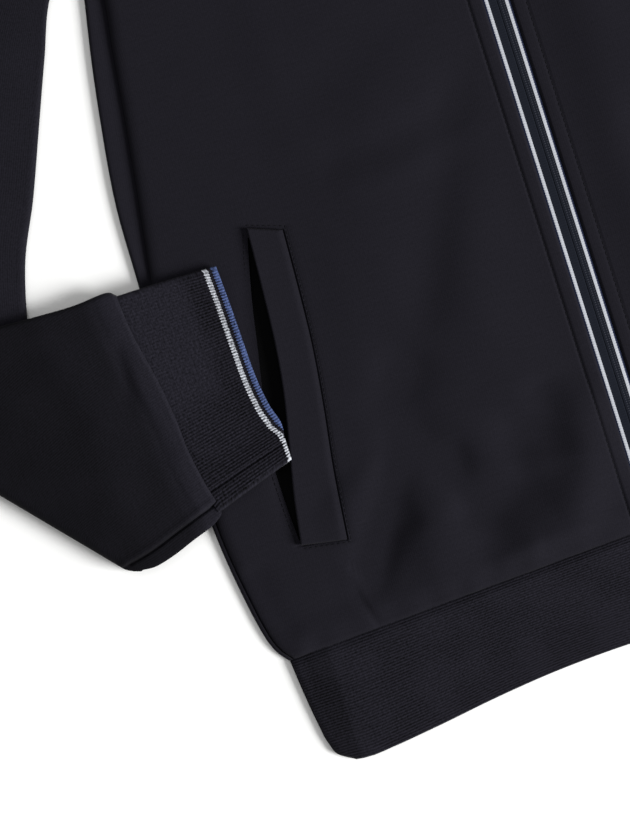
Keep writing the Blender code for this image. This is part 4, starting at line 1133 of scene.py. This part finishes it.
def stitch_rows(side, finish):
    """All the sewing that shows on one front: beside the zip, round the welt, along the mouth's lip."""
    y = np.linspace(HEM_SEAM_MIDDLE_Y + 2, NECK_FRONT_Y - 1, 200)
    lip_y = np.linspace(MOUTH_LOW_Y - 2, MOUTH_HIGH_Y + 2, 60)
    sewn = ((STITCH_OUT[side] + 0 * y, y), welt_stitch_path().T, (lip_out(lip_y) + LIP_STITCH_AWAY, lip_y))
    found = []
    for out, y in sewn:
        where = np.concatenate([[0], np.cumsum(np.hypot(np.diff(out), np.diff(y)))])
        places = np.linspace(0, 1, 400) * where[-1]
        out, y = np.interp(places, where, out), np.interp(places, where, y)
        found.append(along_path(placed(side, out, y, front_face(side, out, y) + 0.1), STITCH_PITCH))
    centres, tangents = (np.concatenate(parts) for parts in zip(*found))
    size = (STITCH_LENGTH, 2 * THREAD_RADIUS, 2 * THREAD_RADIUS)
    return add_beads(f"stitches_{SIDE_NAMES[side]}", centres, tangents, size, finish)


def add_coil(finish):
    """The coil's sewn loops show on one tape as two rows of small beads beside the zip's line."""
    y = np.arange(TAPE_LOW_Y + 2, TAPE_HIGH_Y - 2, COIL_PITCH)
    centres = np.concatenate([placed(1, x, y, COIL_TOP) for x in COIL_ROWS])
    tangents = np.tile([1.0, 0.0, 0.0], (len(centres), 1))
    return add_beads("zip_coil_loops", centres, tangents, LOOP_SIZE, finish)


# Materials


def linear(hex_color):
    """The linear colour of an sRGB hex value."""
    srgb = [int(hex_color[k : k + 2], 16) / 255 for k in (1, 3, 5)]
    made = [c / 12.92 if c <= 0.04045 else ((c + 0.055) / 1.055) ** 2.4 for c in srgb]
    return (*made, 1.0)


def add_node(tree, kind, inputs=(), **settings):
    """A new shader node's outputs. Its inputs, in order or by name, are linked or set."""
    node = tree.nodes.new("ShaderNode" + kind)
    for name, value in settings.items():
        setattr(node, name, value)
    for key, value in inputs.items() if isinstance(inputs, dict) else enumerate(inputs):
        if isinstance(value, bpy.types.NodeSocket):
            tree.links.new(value, node.inputs[key])
        else:
            node.inputs[key].default_value = value
    return node.outputs


def new_material(name, **values):
    """An empty material with a Principled shader whose sockets hold the values."""
    made = bpy.data.materials.new(name)
    made.use_nodes = True
    shader = made.node_tree.nodes["Principled BSDF"]
    for key, value in values.items():
        shader.inputs[key.replace("_", " ")].default_value = value
    return made, made.node_tree, shader


STREAK_SCALE = (0.07, 0.55, 1.0)  # of the noise that is stretched along the courses


def knit(name, color, streak, grain, ribs, stripes=None, painted_shade_bands=(), groove_shade_reach=(), **values):
    """Knitted or woven cloth, matte, with rows of grooves and a wandering tone.

    ribs holds (axis of the UV, pitch in mm, darkening, depth in mm) for each row of grooves, which are
    cosine waves; the darkening is painted shade in the grooves, and a broad noise fades it here and there.
    streak and grain say how much two noises, one stretched along the courses, change the tone. stripes
    holds (axis, reach, wobble, stops) for dyed stripes, and painted_shade_bands (axis, near, far, tone)
    for each band of painted shade, which is painted light where its tone is above 1, and which changes
    the tone from near to far. groove_shade_reach holds (axis, full, faint) for the places where the
    painted shade in the grooves is full; elsewhere it is faint.
    """
    made, tree, shader = new_material(
        name, Roughness=0.9, Specular_IOR_Level=0.06, Sheen_Weight=0.02, Sheen_Roughness=0.5, **values
    )
    add = partial(add_node, tree)
    uv = add("UVMap", uv_map="cloth")["UV"]
    axes = add("SeparateXYZ", [uv])
    stretched = add("Mapping", {"Vector": uv, "Scale": STREAK_SCALE})[0]
    streaks = add("TexNoise", {"Vector": stretched, "Scale": 1.0, "Detail": 3.0})["Fac"]
    grains = add("TexNoise", {"Vector": uv, "Scale": 0.8, "Detail": 5.0})["Fac"]
    tone = add("Math", (streaks, 2 * streak, 1 - streak - grain), operation="MULTIPLY_ADD")[0]
    tone = add("Math", (grains, 2 * grain, tone), operation="MULTIPLY_ADD")[0]
    # bands of painted shade along one axis of the UV; a tone above 1 paints light back in
    for axis, near, far, painted_shade in painted_shade_bands:
        step = (axes[axis], near, far, 1.0, painted_shade)
        turned = add("MapRange", step, interpolation_type="SMOOTHSTEP")[0]
        tone = add("Math", (tone, turned), operation="MULTIPLY")[0]
    broad = add("TexNoise", {"Vector": uv, "Scale": 0.035, "Detail": 1.0})["Fac"]
    fade = add("MapRange", (broad, 0.38, 0.6, 0.6, 1.0), interpolation_type="SMOOTHSTEP")[0]
    stands = []
    # where the painted shade in the grooves is full
    for axis, full, faint in groove_shade_reach:
        step = (axes[axis], full, faint, 1.0, 0.12)
        stands.append(add("MapRange", step, interpolation_type="SMOOTHSTEP")[0])
    if stands:
        stand = stands[0]
        for other in stands[1:]:
            stand = add("Math", (stand, other), operation="MAXIMUM")[0]
        fade = add("Math", (fade, stand), operation="MULTIPLY")[0]
    height = add("Math", (grains, 0.08), operation="MULTIPLY")[0]
    # each row of grooves: painted shade in the tone, and a real furrow in the bump
    for axis, pitch, painted_shade, depth in ribs:
        turned = add("Math", (axes[axis], 2 * math.pi / pitch), operation="MULTIPLY")[0]
        wave = add("Math", (turned,), operation="COSINE")[0]
        groove = add("Math", (wave, 0.5, 0.5), operation="MULTIPLY_ADD")[0]
        faded = add("Math", (groove, fade), operation="MULTIPLY")[0]
        tone = add("Math", (faded, -painted_shade, tone), operation="MULTIPLY_ADD")[0]
        height = add("Math", (groove, -depth, height), operation="MULTIPLY_ADD")[0]
    dye = stripe_color(tree, axes, *stripes) if stripes else linear(color)[:3]
    shade = add("VectorMath", {0: dye, "Scale": tone}, operation="SCALE")[0]
    tree.links.new(shade, shader.inputs["Base Color"])
    bump = add("Bump", {"Height": height, "Distance": METRES, "Strength": 1.0})[0]
    tree.links.new(bump, shader.inputs["Normal"])
    return made


def stripe_color(tree, axes, axis, reach, wobble, stops):
    """Constant stripes: stops gives (millimetres, hex) along one axis; wobble (size, pitch) jags them."""
    add = partial(add_node, tree)
    size, pitch = wobble
    other = axes["X" if axis == "Y" else "Y"]
    turned = add("Math", (other, 2 * math.pi / pitch), operation="MULTIPLY")[0]
    wave = add("Math", (turned,), operation="COSINE")[0]
    place = add("Math", (wave, size, axes[axis]), operation="MULTIPLY_ADD")[0]
    share = add("Math", (place, 1 / reach), operation="MULTIPLY")[0]
    color = add("ValToRGB", [share])["Color"]
    ramp = color.node.color_ramp
    ramp.interpolation = "CONSTANT"
    ramp.elements.remove(ramp.elements[1])
    for k, (distance, stop) in enumerate(stops):
        element = ramp.elements[0] if k == 0 else ramp.elements.new(distance / reach)
        element.position = distance / reach
        element.color = linear(stop)
    return color


def plain(name, color, roughness, noise=0.1, **values):
    """A smooth moulded or enamelled finish, whose tone wanders a little."""
    made, tree, shader = new_material(name, Roughness=roughness, **values)
    add = partial(add_node, tree)
    place = add("TexCoord")["Object"]
    grain = add("TexNoise", {"Vector": place, "Scale": 900.0, "Detail": 2.0})["Fac"]
    tone = add("Math", (grain, noise, 1 - noise / 2), operation="MULTIPLY_ADD")[0]
    shade = add("VectorMath", {0: linear(color)[:3], "Scale": tone}, operation="SCALE")[0]
    tree.links.new(shade, shader.inputs["Base Color"])
    return made


# Near-black navy cloth: the white of the floor is brighter than the picture's white, and so the cloth's
# own colours are a little darker than they look
JERSEY_HEX, SLEEVE_HEX, RIB_HEX, CUFF_HEX = "#17161C", "#1D1C23", "#1D1C23", "#1C1B22"
NAVY_HEX, DIM_BLUE_HEX, BLUE_HEX, WHITE_HEX = "#171A22", "#2A3048", "#46547C", "#B2B5BC"

# Painted shade on the sleeve, where its face turns from the light more than its shape does: darker in steps
# beyond its end's swelling, back up towards the upper arm, and darker just below the underarm seam's step
SLEEVE_PAINTED_SHADE = (
    ("Y", 9.5, 12.5, 0.74),
    ("Y", 12.0, 21.0, 0.66),
    ("Y", 38.0, 52.0, 0.8),
    ("Y", 105.0, 190.0, 2.05),
    ("X", 0.0, 1.5, 0.9),
)
# Painted shade on the hem where its face falls off towards its side fold; the tone comes back up on the fold
HEM_PAINTED_SHADE = (("X", 182.5, 186.5, 0.76), ("X", 195.0, 203.0, 1.34))
# The painted shade in the cuff's rib grooves is full by its edge and towards its under side, and faint
# elsewhere
CUFF_GROOVE_SHADE = (("Y", 15.0, 24.0), ("X", 205.0, 185.0))


def make_materials():
    """Every finish by its short name. A knit's last tuple has its rows of grooves."""
    tipping = ((0.0, BLUE_HEX), (3.4, CUFF_HEX), (5.5, WHITE_HEX), (8.0, CUFF_HEX))
    edging = ((0.0, NAVY_HEX), (4.15, WHITE_HEX), (5.9, DIM_BLUE_HEX), (6.8, NAVY_HEX))
    # fine loops with faint painted shade between them, faint streaks along the courses
    loops = (("X", 1.15, 0.04, 0.02), ("Y", 0.95, 0.03, 0.015))
    jersey = knit("double-knit jersey, smooth", JERSEY_HEX, 0.10, 0.30, loops)
    # the same jersey, whose wales show as fine lines of painted shade along the sleeve, with bands of painted
    # shade
    wales = (("X", 1.3, 0.17, 0.04), ("Y", 0.95, 0.05, 0.02))
    sleeve = knit("double-knit jersey, wales showing", SLEEVE_HEX, 0.10, 0.55, wales, painted_shade_bands=SLEEVE_PAINTED_SHADE)
    # ridges along the band, with painted shade between them
    ridges = (("Y", BAND_PITCH, 0.6, 0.06), ("X", 0.9, 0.08, 0.03))
    rib = knit("rib knit along the band", RIB_HEX, 0.10, 0.85, ridges, painted_shade_bands=HEM_PAINTED_SHADE)
    # 1x1 ribs with painted shade in their grooves, and two stripes knitted in by the edge
    ribs = (("X", RIB_PITCH, 0.7, 0.06), ("Y", 1.1, 0.08, 0.03))
    tips = ("Y", 60.0, (0.3, RIB_PITCH), tipping)
    cuff = knit("1x1 rib knit with tipping", CUFF_HEX, 0.08, 1.3, ribs, tips, groove_shade_reach=CUFF_GROOVE_SHADE)
    # woven navy tape with a white and a dim blue line, and faint painted shade between its weft rows
    weft = (("Y", 1.4, 0.16, 0.04), ("X", 0.8, 0.05, 0.02))
    lines = ("X", 20.0, (0.06, 1.4), edging)
    tape = knit("woven zip tape with striped edges", NAVY_HEX, 0.05, 0.12, weft, lines)
    # black plain weave, far darker than real cloth: painted shade of the pocket's mouth
    weave = (("X", 0.7, 0.1, 0.02), ("Y", 0.7, 0.1, 0.02))
    pocketing = knit("woven pocketing, black", "#040405", 0.1, 0.3, weave)
    return {
        "jersey": jersey,
        "sleeve": sleeve,
        "rib": rib,
        "cuff": cuff,
        "tape": tape,
        "pocketing": pocketing,
        # dull thread, a little darker than the cloth
        "thread": plain("spun polyester thread", "#0E0E12", 0.8, 0.3, Specular_IOR_Level=0.1),
        # dull dark loops that catch a little light
        "coil": plain("moulded nylon coil", "#191C26", 0.6, 0.2, Specular_IOR_Level=0.2),
        # matte plastic
        "plastic": plain("moulded acetal", "#15151B", 0.4),
        # a glossy black skin
        "enamel": plain("black enamelled zinc", "#17171A", 0.28, 0.1, Coat_Weight=0.3),
    }


# Stage


def add_camera():
    """Looks straight down at the view's centre, turned so that the jacket leans as in the photo."""
    data = bpy.data.cameras.new("camera")
    data.sensor_width = SENSOR
    data.lens = SENSOR * CAMERA_HEIGHT / VIEW_HEIGHT
    camera = bpy.data.objects.new("camera", data)
    camera.location = (VIEW_CENTRE[0] * METRES, VIEW_CENTRE[1] * METRES, CAMERA_HEIGHT * METRES)
    camera.rotation_euler = (0, 0, -math.radians(VIEW_TILT))
    bpy.context.scene.collection.objects.link(camera)
    bpy.context.scene.camera = camera


def add_light(name, azimuth, elevation, distance, size, power):
    """A square soft box that looks at the jacket. Azimuth 0 is the view's right, 90 its top."""
    data = bpy.data.lights.new(name, "AREA")
    data.size = size
    data.energy = power
    light = bpy.data.objects.new(name, data)
    turn, rise = math.radians(azimuth - VIEW_TILT), math.radians(elevation)
    centre = np.array([*VIEW_CENTRE, 0.0]) * METRES
    away = np.array([math.cos(turn) * math.cos(rise), math.sin(turn) * math.cos(rise), math.sin(rise)])
    light.location = centre + away * distance
    light.rotation_euler = (0.0, math.pi / 2 - rise, turn)
    bpy.context.scene.collection.objects.link(light)


FLOOR_HALF, FLOOR_Z = 4.0, -0.0002  # metres


def add_stage():
    """A pale floor, a white room and soft boxes, brightest from the view's right."""
    scene = bpy.context.scene
    scene.view_settings.view_transform = "Standard"
    world = bpy.data.worlds.new("white room")
    world.use_nodes = True
    world.node_tree.nodes["Background"].inputs["Color"].default_value = (1.0, 1.0, 1.0, 1.0)
    world.node_tree.nodes["Background"].inputs["Strength"].default_value = 0.3
    scene.world = world
    add_light("key soft box", -12.0, 30.0, 4.5, 2.0, 372.0)
    add_light("top soft box", 120.0, 75.0, 2.6, 2.0, 15.0)
    mesh = bpy.data.meshes.new("floor")
    corners = [(-FLOOR_HALF, -FLOOR_HALF, 0), (FLOOR_HALF, -FLOOR_HALF, 0)]
    corners += [(FLOOR_HALF, FLOOR_HALF, 0), (-FLOOR_HALF, FLOOR_HALF, 0)]
    mesh.from_pydata(corners, [], [(0, 1, 2, 3)])
    finish, _, _ = new_material("matte white board", Roughness=0.9, Base_Color=linear("#EDEDEC"))
    mesh.materials.append(finish)
    floor = bpy.data.objects.new("floor", mesh)
    floor.location = (0, 0, FLOOR_Z)
    scene.collection.objects.link(floor)


# The jacket


def cloth_piece(piece, node):
    """Stands for its node of the frame and rides on the jacket."""
    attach(piece, BODY)
    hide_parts(node)


def main():
    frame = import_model()
    finish = make_materials()
    cloth_piece(add_back(finish["jersey"]), "back")
    for side in (RIGHT, LEFT):
        name = SIDE_NAMES[side]
        cloth_piece(add_front(side, finish["jersey"]), f"front_{name}")
        cloth_piece(add_welt(side, finish["jersey"]), f"welt_{name}")
        sleeve = add_sleeve(side, finish["sleeve"])
        cloth_piece(sleeve, f"sleeve_{name}")
        cloth_piece(add_cuff(side, finish["cuff"]), f"cuff_{name}")
        cloth_piece(add_tape(side, finish["tape"]), f"zip_tape_{name}")
        bag = add_pocket_bag(side, finish["pocketing"])
        cloth_piece(bag, f"pocket_bag_{name}")
        sewing = stitch_rows(side, finish["thread"])
        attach(sewing, BODY)
    cloth_piece(add_hem_band(finish["rib"]), "hem_band")
    cloth_piece(add_collar(finish["rib"]), "collar")
    coil = add_coil(finish["coil"])
    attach(coil, BODY)
    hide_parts("zip_coil")
    kept = {
        "enamel": ("zip_slider", "zip_pull"),
        "plastic": ("zip_box", "zip_pin", "zip_stop_right", "zip_stop_left"),
    }
    for look, nodes in kept.items():
        for node in nodes:
            frame["nodes"][node].material_slots[0].material = finish[look]
    add_stage()
    add_camera()


main()
